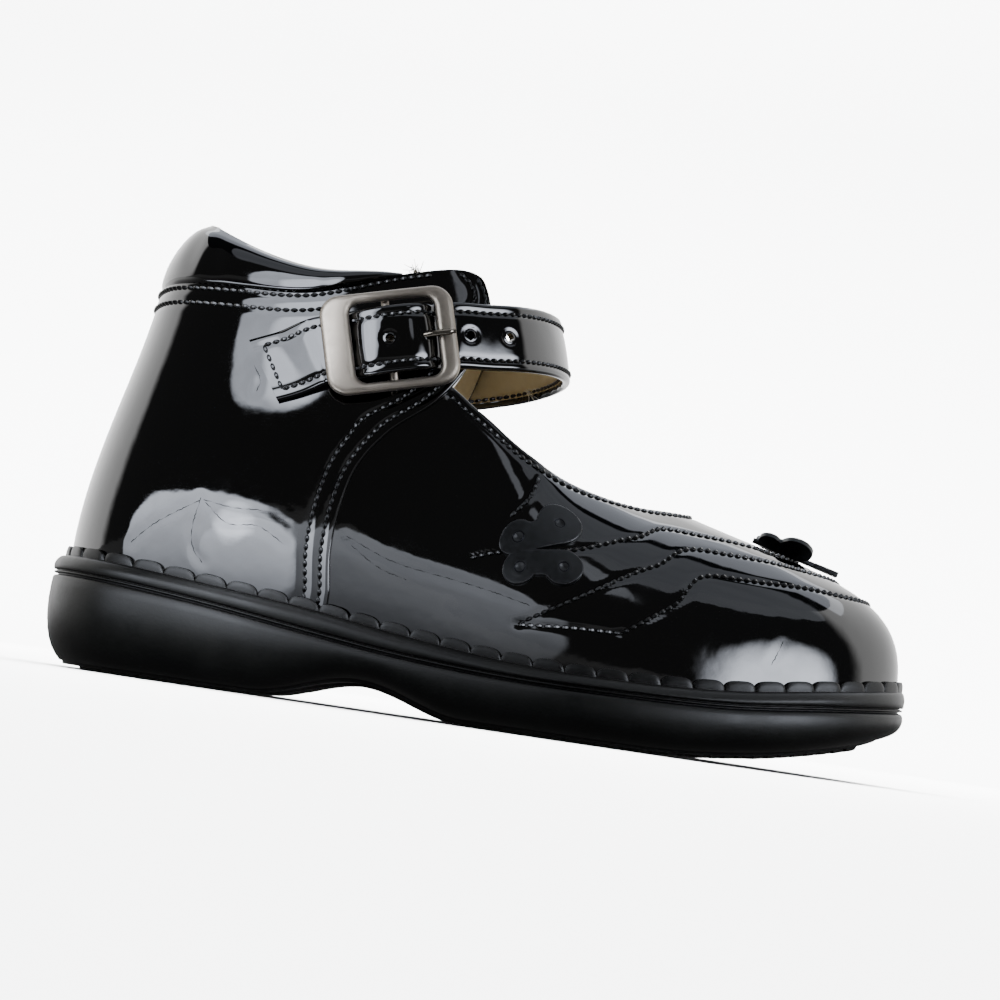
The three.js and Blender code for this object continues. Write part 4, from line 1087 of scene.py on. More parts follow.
def make_frame():
    half_length, half_height = BUCKLE["length"] / 2, BUCKLE["height"] / 2
    rings = [(rounded_outline(inset - half_length, half_length - inset, inset - half_height,
                              half_height - inset, OUTER_CORNER - inset), rise)
             for inset, rise in OUTER_SECTION]
    rings += [(rounded_outline(-half_length + BUCKLE["rear_bar"] - out,
                               half_length - BUCKLE["front_bar"] + out,
                               -half_height + BUCKLE["side_bar"] - out,
                               half_height - BUCKLE["side_bar"] + out, WINDOW_CORNER + out), rise)
              for out, rise in WINDOW_SECTION]
    return moved(on_buckle, loft([
        np.column_stack((flat, np.full(len(flat), BUCKLE["bottom"] + rise)))
        for flat, rise in rings], ring=True))


def make_axle():
    reach = BUCKLE["height"] / 2 - BUCKLE["side_bar"] / 2
    lug_top = BUCKLE["bottom"] + 0.4
    # across, up and the way the wire turns there
    route = ((-reach, lug_top, 90), (-reach, AXLE_HEIGHT + AXLE_BEND, 90),
             (-reach + AXLE_BEND, AXLE_HEIGHT, 45), (0, AXLE_HEIGHT, 0),
             (reach - AXLE_BEND, AXLE_HEIGHT, -45), (reach, AXLE_HEIGHT + AXLE_BEND, -90),
             (reach, lug_top, -90))
    turn = np.arange(14) * 2 * math.pi / 14
    loops = []
    for y, z, lean in route:
        wide = 1 / math.cos(math.radians(45)) if abs(lean) == 45 else 1
        cos, sin = math.cos(math.radians(lean)), math.sin(math.radians(lean))
        loops.append([(AXLE_RADIUS * math.cos(a), y + AXLE_RADIUS * sin * math.sin(a) * wide,
                       z + AXLE_RADIUS * cos * math.sin(a) * wide) for a in turn])
    return moved(on_buckle, loft(loops))


def catmull(points, per_span):
    """A smooth centripetal curve through points, as close points."""
    points = np.asarray(points, float)
    padded = np.concatenate(((2 * points[0] - points[1],), points, (2 * points[-1] - points[-2],)))
    made = []
    for i in range(1, len(padded) - 2):
        p0, p1, p2, p3 = padded[i - 1:i + 3]
        d0, d1, d2 = (max(1e-4, np.linalg.norm(b - a)) ** 0.5 for a, b in ((p0, p1), (p1, p2),
                                                                             (p2, p3)))
        m1 = ((p1 - p0) / d0 - (p2 - p0) / (d0 + d1) + (p2 - p1) / d1) * d1
        m2 = ((p2 - p1) / d1 - (p3 - p1) / (d1 + d2) + (p3 - p2) / d2) * d1
        t = np.arange(per_span)[:, None] / per_span
        made.append((2 * t ** 3 - 3 * t ** 2 + 1) * p1 + (t ** 3 - 2 * t ** 2 + t) * m1
                    + (3 * t ** 2 - 2 * t ** 3) * p2 + (t ** 3 - t ** 2) * m2)
    return np.concatenate(made + [points[-1:]])


def make_prong():
    loop = AXLE_RADIUS + AXLE_PLAY + PRONG["radius"]
    on_bar = BUCKLE["bottom"] + BUCKLE["thick"] + PRONG["radius"] + AXLE_PLAY
    route = [(loop * math.cos(a), 0, AXLE_HEIGHT + loop * math.sin(a))
             for a in np.radians(np.arange(-50, -271, -27.5))]
    rise = on_bar - AXLE_HEIGHT - loop
    for share, lift in PRONG_RISE:
        route.append((share * PRONG["reach"], 0, AXLE_HEIGHT + loop + lift * rise))
    line = catmull(route, 8)
    share = np.linspace(0, 1, len(line))
    radii = PRONG["radius"] * np.where(share > 0.97, 0.72, np.where(share < 0.02, 0.75, 1.0))
    return moved(on_buckle, tube(line, radii))


def nickel_nodes(tree, low=0.38, high=0.52):
    coords = node(tree, "TexCoord").outputs["Object"]
    mottle = node(tree, "TexNoise", {"Scale": 900.0, "Detail": 5.0, "Roughness": 0.7},
                  Vector=coords)
    wear = node(tree, "TexNoise", {"Scale": 260.0, "Detail": 3.0}, Vector=coords)
    rough = node(tree, "MapRange", {"From Min": 0.35, "From Max": 0.7, "To Min": low,
                                    "To Max": high}, _0=mottle)
    colour = node(tree, "Mix", {"data_type": "RGBA", 6: linear("#857e73"), 7: linear("#746d64")},
                  _0=wear)
    bump = node(tree, "Bump", {"Strength": 0.07, "Distance": 0.0001}, Height=mottle)
    return {"Base_Color": colour.outputs[2], "Roughness": rough, "Normal": bump}


# Tumbled nickel plate: a warm grey metal with a mottled satin gleam.
satin_nickel = place_material("tumbled_nickel_plate", {"Metallic": 1.0}, nickel_nodes)
# Drawn nickel-plated wire: the same metal, brighter where the strap polishes it.
bright_nickel = place_material("drawn_nickel_wire", {"Metallic": 1.0},
                               lambda tree: nickel_nodes(tree, 0.1, 0.22))

buckle_frame = add_piece("buckle_frame_plated", *make_frame(), satin_nickel, "buckle_frame",
                         smooth_below=55)
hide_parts("buckle_frame")
add_piece("buckle_middle_bar", *make_axle(), satin_nickel, "buckle_frame")
prong = add_piece("buckle_wire_prong", *make_prong(), bright_nickel, "buckle_prong")
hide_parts("buckle_prong")

# ------------------------------------------------------------------------------ strap
# The instep strap: patent leather folded round a pale lining and sewn along both edges. It is
# sewn to the medial quarter, crosses the instep and goes through the buckle, under the front
# bar, over the middle bar and under the rear bar. Its free end lies on the lateral quarter.
STRAP = {"width": 11.5, "thick": 1.5, "slant": 0.18, "hole": 0.75, "pitch": 7.3}
STRAP_END = ((34.3, 52.8, 1.1), (38.5, 54.7, 1.4))  # x, z and height over the quarter
# along the buckle, and height over the quarter there
STRAP_IN_BUCKLE = ((-11.6, 2.85), (-9, 2.85), (-6.6, 2.95), (-3.6, 4.9), (-1, 5.7), (1.6, 5.9),
                   (3.8, 5.8), (5.5, 5.2), (6.7, 4.05), (7.8, 3.0), (9.4, 2.75), (11.4, 2.6))
PRONG_HOLE_ROW = 8  # the point of that route at which the prong comes up
STRAP_HOLES = (-2, -1, 1, 2)  # the spare holes, in pitches from the prong's
# x, y and z over the instep, free of the upper
STRAP_SPAN = ((70.8, -22.7, 64.4), (76.0, -19.6, 65.4), (80.3, -13.8, 66.3), (82.8, -7, 66.8),
              (83.6, 0.3, 67), (82.8, 7.6, 66.8), (80.3, 14.4, 66.2), (76.0, 20.1, 65.2),
              (70.6, 22.6, 63.9))
STRAP_ROOT = ((63, 61.9, 1.15), (53, 59, 1.1), (42, 54.8, 1.1))  # as at its end
SPAN_LEAN = 0.3  # the span's face leans back by this slope
STRAP_ROW_IN = 1.7  # the stitch rows, in from the strap's edges
FLAT_END = 14.0  # the free end is pressed flat this far
SLANT_END, POINT_END, POINT_REACH = 8.0, 9.0, 2.6  # the cuts of the free end and the root
CREASE_AT = 9.62  # a bend of wear across the free end
STRAP_CORNER = 0.62  # how far in from its edges its faces turn round
STRAP_CROWN = 0.16  # how far the face swells between its two rows
FACE_PULL, LINING_PULL, RIM_PULL = 0.14, 0.15, 0.2  # how far the rows and the holes draw it in
STRAP_STEP, PER_SPAN = 0.32, 40  # between its loops, and points of the curve between two spots


def strap_route():
    """Close points along the strap's middle, with its normals and which way is up it."""
    rows = [skin_frame((x, z), LATERAL, lift) for x, z, lift in STRAP_END]
    rows += [(on_buckle((x, 0, z)), buckle_out) for x, z in STRAP_IN_BUCKLE]
    span = np.array(STRAP_SPAN)
    for i, point in enumerate(span):
        before, after = span[max(i - 1, 0)], span[min(i + 1, len(span) - 1)]
        ahead = np.array((after[0] - before[0], after[1] - before[1], 0))
        rows.append((point, unit(np.cross(ahead, (-SPAN_LEAN, 0, 1)))))
    rows += [skin_frame((x, z), MEDIAL, lift) for x, z, lift in STRAP_ROOT]
    points = catmull([point for point, _ in rows], PER_SPAN)
    normals = catmull([normal for _, normal in rows], PER_SPAN)
    gone = way_gone(points)
    even = np.linspace(0, gone[-1], int(gone[-1] / STRAP_STEP))
    line, normals = read_line(even, gone, points), read_line(even, gone, normals)
    heading = unit(np.gradient(line, axis=0))
    across = unit(np.cross(normals, heading))
    prong_at = gone[(len(STRAP_END) + PRONG_HOLE_ROW) * PER_SPAN]
    return line, heading, across, np.cross(heading, across), even, prong_at


strap_line, strap_heading, strap_across, strap_normal, strap_gone, prong_at = strap_route()


def strap_section():
    """The strap's outline across: how far across, how far out, and how much is outer face."""
    half_width, half_thick = STRAP["width"] / 2, STRAP["thick"] / 2
    flat = half_width - STRAP_CORNER
    face = np.linspace(-flat, flat, 36)
    turns = np.radians(np.linspace(90, -90, 7)[1:-1])
    right = [(flat + STRAP_CORNER * math.cos(t), half_thick * math.sin(t)) for t in turns]
    left = [(-x, z) for x, z in right[::-1]]
    outer = [(w, half_thick) for w in face]
    inner = [(w, -half_thick) for w in face[::-1]]
    return np.array(outer + right + inner + left), len(face)


def make_strap():
    section, face_count = strap_section()
    row_at = STRAP["width"] / 2 - STRAP_ROW_IN
    wide, high = section[:, 0], section[:, 1]
    outer = high > STRAP["thick"] / 2 - 1e-6
    crown = np.where(outer, STRAP_CROWN * np.clip(1 - (wide / row_at) ** 2, 0, 1), 0)
    inner = high < -STRAP["thick"] / 2 + 1e-6
    dip = np.exp(-((np.abs(wide) - row_at) / 0.5) ** 2)
    high = (high + crown - np.where(outer, FACE_PULL * dip, 0)
            + np.where(inner, LINING_PULL * dip, 0))
    total = strap_gone[-1]
    cut = STRAP["slant"] * np.clip(1 - strap_gone / SLANT_END, 0, 1)
    point_cut = np.clip(1 - (total - strap_gone) / POINT_END, 0, 1)
    loops = []
    for i, gone in enumerate(strap_gone):
        lifted = high - crown * np.clip((FLAT_END - gone) / 4.0, 0, 1)
        for count in STRAP_HOLES:
            far = np.hypot(wide, gone - prong_at - count * STRAP["pitch"])
            lifted -= np.where(outer, RIM_PULL * np.exp(-((far - 1.15) / 0.3) ** 2), 0)
        lifted += np.where(inner, 0.07 * math.sin(gone * 1.7 + 0.4) * np.cos(wide * 0.5), 0)
        crease = math.exp(-((gone - CREASE_AT) / 0.5) ** 2)
        lifted -= np.where(outer, 0.06 * crease, 0)
        slide = -cut[i] * wide + point_cut[i] * (1 - np.abs(wide) / 6.5) * POINT_REACH
        loops.append(strap_line[i] + strap_across[i] * wide[:, None]
                     + strap_heading[i] * slide[:, None] + strap_normal[i] * lifted[:, None])
    return loft(loops), face_count, len(section)


def strap_spot(gone, wide, high):
    """Points on the strap a given way along it, across it and out from its middle."""
    pick = [read_line(gone, strap_gone, rows)
            for rows in (strap_line, strap_heading, strap_across, strap_normal)]
    slide = -STRAP["slant"] * np.clip(1 - gone / SLANT_END, 0, 1) * wide
    return (pick[0] + pick[1] * slide[:, None] + pick[2] * np.asarray(wide)[:, None]
            + pick[3] * high), pick[3]


(strap_points, strap_faces), strap_face_count, strap_size = make_strap()
strap = add_piece("instep_strap", strap_points, strap_faces, patent, "strap")
line_inside(strap, pigskin, strap_size, strap_face_count + 7, 2 * strap_face_count + 1)
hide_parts("strap")


def drill(piece, name, cutters):
    """Cuts closed tools out of a piece for good."""
    points, faces = joined(cutters)
    mesh = bpy.data.meshes.new(name)
    mesh.from_pydata(((points + SHOE_AT) * MM).tolist(), [], faces)
    tool = bpy.data.objects.new(name, mesh)
    bpy.context.scene.collection.objects.link(tool)
    cut = piece.modifiers.new("cut", "BOOLEAN")
    cut.operation, cut.solver, cut.object = "DIFFERENCE", "EXACT", tool
    graph = bpy.context.evaluated_depsgraph_get()
    result = bpy.data.meshes.new_from_object(piece.evaluated_get(graph))
    piece.modifiers.clear()
    piece.data = result
    bpy.data.objects.remove(tool)


strap_holes = []
for count in STRAP_HOLES:
    (middle,), (way,) = strap_spot(np.array((prong_at + count * STRAP["pitch"],)), np.zeros(1), 0.0)
    strap_holes.append(tube((middle - 2 * way, middle - way, middle + way, middle + 2 * way),
                            (STRAP["hole"],) * 4, 20))
PRONG_SLOT = ((4.2, 0, 1.5), (5.6, 0, 3.4), (6.4, 0, 5), (7.4, 0, 7.5))  # on the buckle
strap_holes.append(moved(on_buckle, tube(PRONG_SLOT, (0.85,) * 4, 16)))
drill(strap, "strap_punch", strap_holes)

strap_rows = []
row_out = STRAP["width"] / 2 - STRAP_ROW_IN
row_gone = np.arange(STRAP_ROW_IN, strap_gone[-1] - 1.5, PATH_STEP)
for side in (-1, 1):
    for face in (1, -1):
        line, normals = strap_spot(row_gone, np.full(len(row_gone), side * row_out),
                                   face * (STRAP["thick"] / 2 - 0.04))
        strap_rows.append(stitches(line, face * normals))
row_wides = np.linspace(-row_out, row_out, 26)
for at in (STRAP_ROW_IN, strap_gone[-1] - STRAP_ROW_IN):
    line, normals = strap_spot(np.full_like(row_wides, at), row_wides, STRAP["thick"] / 2 + 0.02)
    strap_rows.append(stitches(line, normals))
add_piece("strap_stitching", *joined(strap_rows), nylon, "strap")

# ------------------------------------------------------------------------------ butterflies
# Die-cut trimmings of dull blue-black leather about a millimetre thick, their edges bevelled
# and each lobe punched and riveted down: a pair of wings either side of the upper stitch row
# on the lateral side of the vamp, and a whole butterfly with two feelers on the vamp's ridge.
CUTOUT_THICK = 0.95
SIDE_WINGS = (  # spots of the small and the large lobe, their radii, which long side is straight
    (((80.7, 31.6), 2.75), ((87.0, 34.6), 3.95), LATERAL),
    (((81.6, 26.5), 2.75), ((88.7, 27.4), 3.25), MEDIAL),
)
EYELET_AT = CUTOUT_THICK - 0.06
WAIST = 0.5  # how far the notch between two lobes stays from their middle line


def wing_sides(small, large, straight, x):
    """The low and high edge of a two-lobed wing at x, its straight side low or high."""
    edges = []
    share = np.clip((x - small[0]) / (large[0] - small[0]), 0, 1)
    between = (x > small[0]) & (x < large[0])
    for sign in (-1, 1):
        arcs = [sign * cy + np.sqrt(np.clip(radius ** 2 - (x - cx) ** 2, 0, None))
                - 10 * np.clip(np.abs(x - cx) - radius, 0, None)
                for cx, cy, radius in (small, large)]
        edge = np.maximum(*arcs)
        reach = 1.0 if sign == straight else WAIST
        bridge = ((1 - share) * (sign * small[1] + reach * small[2])
                  + share * (sign * large[1] + reach * large[2]))
        edges.append(sign * np.where(between, np.maximum(edge, bridge), edge))
    return edges


def make_cutout(small, large, straight, place):
    """A wing cut from leather: place(x, y, out) sets points of its plan on the shoe."""
    low_x, high_x = small[0] - small[2], large[0] + large[2]
    t = (1 - np.cos(np.linspace(0.02, 1, 46) * math.pi * 0.985)) / 2  # just short of the tips
    x = low_x + (high_x - low_x) * t
    low, high = wing_sides(small, large, straight, x)
    s = (1 - np.cos(np.linspace(0, 1, 22) * math.pi)) / 2
    ys = low[:, None] + (high - low)[:, None] * s[None]
    xs = np.broadcast_to(x[:, None], ys.shape)
    edge_far = np.minimum((ys - low[:, None]), (high[:, None] - ys))
    edge_far = np.minimum(edge_far, np.minimum(xs - x[0], x[-1] - xs) + 0.05)
    bevel = 0.26 * (1 - np.sqrt(1 - np.clip(1 - edge_far / 0.34, 0, 1) ** 2))
    hollow = np.zeros_like(xs)
    for cx, cy, _ in (small, large):
        far = np.hypot(xs - cx, ys - cy)
        hollow += 0.35 * np.exp(-(far / 0.55) ** 2) - 0.1 * np.exp(-((far - 1.0) / 0.3) ** 2)
    top = place(xs, ys, CUTOUT_THICK - bevel - hollow)
    foot = place(xs, ys, np.zeros_like(xs))
    return loft(np.concatenate((top, foot[:, ::-1]), axis=1))


def ring_eyelet(place, x, y, out, radius=0.84, wire=0.14):
    """A pressed ring round a lobe's hole."""
    turns = np.linspace(0, 2 * math.pi, 20, endpoint=False)
    around = np.linspace(0, 2 * math.pi, 8, endpoint=False)
    loops = [place(x + (radius + wire * np.cos(around)) * math.cos(a),
                   y + (radius + wire * np.cos(around)) * math.sin(a),
                   out + wire * np.sin(around)) for a in turns]
    return loft(loops, ring=True)


def cut_leather_nodes(tree):
    coords = node(tree, "TexCoord").outputs["Object"]
    grain = node(tree, "TexNoise", {"Scale": 1500.0, "Detail": 4.0}, Vector=coords)
    bump = node(tree, "Bump", {"Strength": 0.14, "Distance": 0.0001}, Height=grain)
    rough = node(tree, "MapRange", {"From Min": 0.3, "From Max": 0.7, "To Min": 0.32,
                                    "To Max": 0.46}, _0=grain)
    return {"Normal": bump, "Roughness": rough}


# Finished box calf, buffed: blue-black with a duller gleam than the patent round it.
box_calf = place_material("buffed_box_calf", {"Base Color": linear("#0a0d10"), "IOR": 1.45},
                          cut_leather_nodes)


def vamp_placer(spot, side):
    """Sets a plan of trimming on the vamp: x along the last, y up it, from a middle spot."""
    (u0, v0), = locate((spot,), side)
    step = 0.01
    here = last_point(u0, v0)
    du = (last_point(u0 + step, v0) - here) / step
    dv = (last_point(u0, v0 + step) - here) / step
    ahead = unit(du)
    up = unit(dv - ahead * dv.dot(ahead))
    turn = np.linalg.inv(((du @ ahead, du @ up), (dv @ ahead, dv @ up)))

    def place(x, y, out):
        x, y = np.asarray(x, float), np.asarray(y, float)
        return off_last(u0 + x * turn[0, 0] + y * turn[1, 0],
                        v0 + x * turn[0, 1] + y * turn[1, 1], np.asarray(out, float) + 0.02)
    return place, here, ahead, up


def turned_plan(place, start, end):
    """The same plan with its x along the line from start to end, from the middle of the two."""
    start, end = np.array(start), np.array(end)
    cos, sin = unit(end - start)
    x0, y0 = (start + end) / 2
    return lambda x, y, out: place(x0 + cos * x - sin * y, y0 + sin * x + cos * y, out)


side_parts, eyelets = [], []
for (small_spot, small_radius), (large_spot, large_radius), straight in SIDE_WINGS:
    middle = tuple((a + b) / 2 for a, b in zip(small_spot, large_spot))
    place, centre, ahead, up = vamp_placer(middle, LATERAL)
    ends = [(float(way @ ahead), float(way @ up))
            for way in line_of(locate((small_spot, large_spot), LATERAL)) - centre]
    half_span = math.dist(*ends) / 2
    lobes = (-half_span, 0.0, small_radius), (half_span, 0.0, large_radius)
    plan = turned_plan(place, *ends)
    side_parts.append(make_cutout(*lobes, -1 if straight == LATERAL else 1, plan))
    for x, y, _ in lobes:
        eyelets.append(ring_eyelet(plan, x, y, EYELET_AT))
add_piece("side_butterfly_wings", *joined(side_parts), box_calf, "upper")

BUTTERFLY = {"x": 129.5, "tilt": 14.5, "lift": 0.75, "body": 1.8, "tail": 7.6, "feelers": 8.6,
             "slit": 4.5, "wing_tilt": 27, "wing_root": 1.5}


def ridge_point(x):
    """Where the vamp's ridge is at x."""
    low, high = 0.0, 1.0
    for _ in range(30):
        mid = (low + high) / 2
        if last_point(float(HALF), mid)[0] > x:
            low = mid
        else:
            high = mid
    return last_point(float(HALF), low)


butterfly_at = ridge_point(BUTTERFLY["x"]) + np.array((0, 0, BUTTERFLY["lift"]))
tip = math.radians(BUTTERFLY["tilt"])
butterfly_axes = np.array(((math.cos(tip), 0, -math.sin(tip)), (0, 1, 0),
                           (math.sin(tip), 0, math.cos(tip))))


def on_butterfly(points):
    """Points given along, across and up from the body's middle, moved to the shoe."""
    return butterfly_at + points @ butterfly_axes


def top_placer(side):
    """Sets a wing's plan beside the butterfly's body, its outer edge raised."""
    rise = math.radians(BUTTERFLY["wing_tilt"])

    def place(x, y, out):
        x, y, out = np.broadcast_arrays(*(np.asarray(a, float) for a in (x, y, out)))
        return on_butterfly(np.stack((
            x, side * (BUTTERFLY["wing_root"] + y * math.cos(rise) - out * math.sin(rise)),
            y * math.sin(rise) + out * math.cos(rise)), axis=-1))
    return place


TOP_WING = ((-5.0, 1.7, 2.0), (-0.2, 2.5, 3.0))  # x, y and radius of each lobe


def make_feeler_strip(start, end, y_start, y_end, half_start, half_end):
    """A flat strip of the body, from start to end along it, with softened edges."""
    share = np.linspace(0, 1, 14)
    xs = start + (end - start) * share
    middle = y_start + (y_end - y_start) * share
    half = half_start + (half_end - half_start) * share
    half = half * np.sqrt(1 - np.clip(np.abs(share - 0.5) * 2 - 0.9, 0, 1) ** 2 * 40)
    section = ((-1, 0.25), (-0.85, 0.75), (-0.6, 0.95), (0, 1), (0.6, 0.95), (0.85, 0.75),
               (1, 0.25), (0.8, 0), (0.3, 0), (0, 0), (-0.3, 0), (-0.8, 0))
    loops = [[(x, y + wide * h, high * CUTOUT_THICK) for wide, high in section]
             for x, y, h in zip(xs, middle, half)]
    return moved(on_butterfly, loft(loops))


for side, name in ((LATERAL, "lateral"), (MEDIAL, "medial")):
    place = top_placer(side)
    wing = add_piece(f"butterfly_wing_cut_{name}",
                     *make_cutout(*TOP_WING, -1, place), box_calf, f"butterfly_wing_{name}")
    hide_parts(f"butterfly_wing_{name}")
    for x, y, _ in TOP_WING:
        eyelets.append(ring_eyelet(place, x, y, EYELET_AT, radius=0.62))
half_body = BUTTERFLY["body"] / 2
slit_end = BUTTERFLY["feelers"] - BUTTERFLY["slit"]
butterfly_body = add_piece("butterfly_body_cut", *joined((
    make_feeler_strip(-BUTTERFLY["tail"], slit_end + 0.2, 0, 0, half_body * 0.7, half_body),
    make_feeler_strip(slit_end, BUTTERFLY["feelers"], 0.5, 0.75, 0.38, 0.3),
    make_feeler_strip(slit_end, BUTTERFLY["feelers"], -0.5, -0.75, 0.38, 0.3),
)), box_calf, "butterfly_body")
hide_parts("butterfly_body")

# Pressed dull metal rings: the rivets' rims, nearly black.
gunmetal = place_material("blackened_eyelet", {
    "Base Color": linear("#1b1c1e"), "Metallic": 1.0, "Roughness": 0.45})
add_piece("butterfly_eyelets", *joined(eyelets), gunmetal, "upper")

# ------------------------------------------------------------------------------ loose threads
# Pale ends of the lining's fibres and sewing thread that stick out where the collar ends at
# the lateral lobe, and where the strap is sewn on.
rng = np.random.default_rng(7)


def tuft(root, way, count, reach, thick):
    """Curled fibres that stand out from a root."""
    parts = []
    for _ in range(count):
        start = np.asarray(root) + rng.normal(0, 0.35, 3)
        heading = unit(np.asarray(way) + rng.normal(0, 0.55, 3))
        curl = rng.normal(0, 0.5, 3)
        length = reach * rng.uniform(0.45, 1.0)
        t = np.linspace(0, 1, 7)[:, None]
        line = start + heading * length * t + curl * t ** 2 * length * 0.5
        parts.append(tube(line, np.linspace(thick, thick * 0.45, 7), 5))
    return joined(parts)


undyed_cotton = place_material("undyed_cotton_fibre", {
    "Base Color": linear("#d9d2c0"), "Roughness": 0.85, "Sheen Weight": 0.3})
add_piece("lining_fray", *joined((
    tuft((57.0, -21.2, 73.6), (0.1, -0.5, 0.8), 26, 2.3, 0.09),
    tuft((78.5, 14.0, 61.2), (0.6, -0.5, -0.5), 7, 3.4, 0.05),
)), undyed_cotton, "upper")

# ------------------------------------------------------------------------------ surround
# The shoe stands on white paper that sweeps up behind it. The paper has lamps of its own, so it
# stays white, and the gloss of the shoe sees instead a dim room with two windows in it, painted
# as glowing sheets that only the gloss sees.
def stage_mesh(name, points, faces, material):
    mesh = bpy.data.meshes.new(name)
    mesh.from_pydata([tuple(map(float, p)) for p in points], [], faces)
    mesh.materials.append(material)
    mesh.shade_smooth()
    made = bpy.data.objects.new(name, mesh)
    bpy.context.scene.collection.objects.link(made)
    return made


SWEEP_BACK, SWEEP_FRONT, SWEEP_SIDE, SWEEP_RADIUS, SWEEP_TALL = 0.9, 2.2, 2.6, 0.5, 2.2
SWEEP_STEPS = 16
sweep = [(-SWEEP_FRONT, 0.0), (SWEEP_BACK, 0.0)]
for step in range(1, SWEEP_STEPS + 1):
    turn = math.radians(step / SWEEP_STEPS * 90)
    sweep.append((SWEEP_BACK + SWEEP_RADIUS * math.sin(turn), SWEEP_RADIUS * (1 - math.cos(turn))))
sweep.append((SWEEP_BACK + SWEEP_RADIUS, SWEEP_TALL))
paper = place_material("white_paper_sweep", {"Base Color": linear("#f6f7f7"), "Roughness": 0.9})
table = stage_mesh("table_sweep",
                   [(x, y, z) for y, z in sweep for x in (-SWEEP_SIDE, SWEEP_SIDE)],
                   [(2 * i, 2 * i + 1, 2 * i + 3, 2 * i + 2) for i in range(len(sweep) - 1)], paper)
table.visible_glossy = table.visible_diffuse = False
paper_only = bpy.data.collections.new("paper_only")
paper_only.objects.link(table)


def faced(made, at, toward):
    made.location = at
    made.rotation_euler = (Vector(toward) - Vector(at)).to_track_quat("-Z", "Y").to_euler()


def softbox(name, at, toward, width, height, power, paper_lamp=False):
    light = bpy.data.lights.new(name, "AREA")
    light.shape, light.size, light.size_y, light.energy = "RECTANGLE", width, height, power
    lamp = bpy.data.objects.new(name, light)
    faced(lamp, at, toward)
    lamp.visible_camera = False
    bpy.context.scene.collection.objects.link(lamp)
    if paper_lamp:
        lamp.light_linking.receiver_collection = paper_only
        lamp.visible_glossy = False
    return lamp


softbox("overhead", (0.0, 0.25, 1.5), (0.0, 0.2, 0.0), 2.4, 1.6, 34).visible_glossy = False
softbox("paper_overhead", (0.0, 0.1, 1.6), (0.0, 0.2, 0.0), 2.6, 2.0, 290, paper_lamp=True)
softbox("paper_backdrop", (0.0, 0.3, 1.1), (0.0, 1.4, 0.3), 2.6, 0.8, 150, paper_lamp=True)


def glow(name, radiance, soft, corners, fade):
    """A glowing sheet, a painted reflection: corners is the power that rounds it, 2 for an ellipse,
    soft how far in from its edge the light runs out, and fade how much of it is lost toward the
    foot."""
    material, tree = new_material(name)
    coords = node(tree, "TexCoord").outputs["Generated"]
    axes = node(tree, "SeparateXYZ", None, Vector=coords)
    far = []
    for axis in (0, 1):
        from_middle = node(tree, "Math", {"operation": "MULTIPLY_ADD", 1: 2.0, 2: -1.0},
                           _0=axes.outputs[axis])
        size = node(tree, "Math", {"operation": "ABSOLUTE"}, _0=from_middle)
        far.append(node(tree, "Math", {"operation": "POWER", 1: corners}, _0=size))
    total = node(tree, "Math", {"operation": "ADD"}, _0=far[0], _1=far[1])
    inside = node(tree, "MapRange", {"interpolation_type": "SMOOTHSTEP", "From Min": 1.0,
                                     "From Max": 1.0 - soft, "To Min": 0.0, "To Max": 1.0},
                  _0=total)
    level = node(tree, "MapRange", {"To Min": (1 - fade) * radiance, "To Max": radiance},
                 _0=axes.outputs[1])
    patchy = node(tree, "TexNoise", {"Scale": 5.0, "Detail": 5.0}, Vector=coords)
    uneven = node(tree, "MapRange", {"From Min": 0.35, "From Max": 0.65, "To Min": 0.92,
                                     "To Max": 1.06}, _0=patchy)
    lit = node(tree, "Math", {"operation": "MULTIPLY"}, _0=level, _1=uneven)
    strength = node(tree, "Math", {"operation": "MULTIPLY"}, _0=inside, _1=lit)
    emission = node(tree, "Emission", {"Color": linear("#e6ecf8")}, Strength=strength)
    clear = node(tree, "BsdfTransparent")
    both = node(tree, "AddShader", None, _0=emission, _1=clear)
    node(tree, "OutputMaterial", None, Surface=both)
    return material


def gloss_only(made):
    made.visible_camera = made.visible_diffuse = made.visible_shadow = False


def card(name, at, toward, width, height, radiance, soft, corners=2.6, fade=0.0):
    """A painted reflection, a glowing sheet that only the gloss sees: a window, or the part of the
    table that it lights.
    """
    w, h = width / 2, height / 2
    made = stage_mesh(name, ((-w, -h, 0), (w, -h, 0), (w, h, 0), (-w, h, 0)), [(0, 1, 2, 3)],
                      glow(name + "_light", radiance, soft, corners, fade))
    faced(made, at, toward)
    gloss_only(made)


# Painted reflections of the windows to the right and left of the near side, of the paper that they
# light, as it shows low in the quarter and the vamp, a painted gleam on the vamp's ridge, and the
# ceiling before and behind. A card stands close to the part that mirrors it where no other part
# should.
card("window_right", (0.74, -0.70, -0.003), (0.04, 0, -0.243), 0.92, 0.95, 18, 0.8, 2.0)
card("window_left", (-0.0440, -0.045, 0.068), (-0.044, -0.02, 0.068), 0.029, 0.035, 8, 0.2)
card("window_left_pane", (-0.0395, -0.044, 0.064), (-0.0395, -0.02, 0.064), 0.018, 0.026, 7, 0.6)
card("low_left", (-0.069, -0.052, 0.0195), (-0.069, -0.02, 0.0195), 0.076, 0.03, 13, 0.2, 2.8, 0.97)
card("low_left_glint", (-0.047, -0.051, 0.026), (-0.047, -0.02, 0.026), 0.014, 0.011, 12, 0.9, 2.0)
card("low_middle", (-0.024, -0.053, 0.0175), (-0.024, -0.02, 0.0175), 0.072, 0.022, 3.2, 0.12,
     2.2, 0.95)
card("high_middle", (0.051, -0.243, 0.167), (0.0, 0.0, 0.06), 0.05, 0.05, 1.8, 0.6)
card("ceiling_front", (0.5, -0.95, 1.5), (0.5, -0.95, 0), 2.8, 1.7, 1.0, 0.15)
card("ceiling_back", (0.4, 1.1, 1.6), (0.4, 1.1, 0), 3.4, 2.1, 2.4, 0.15)


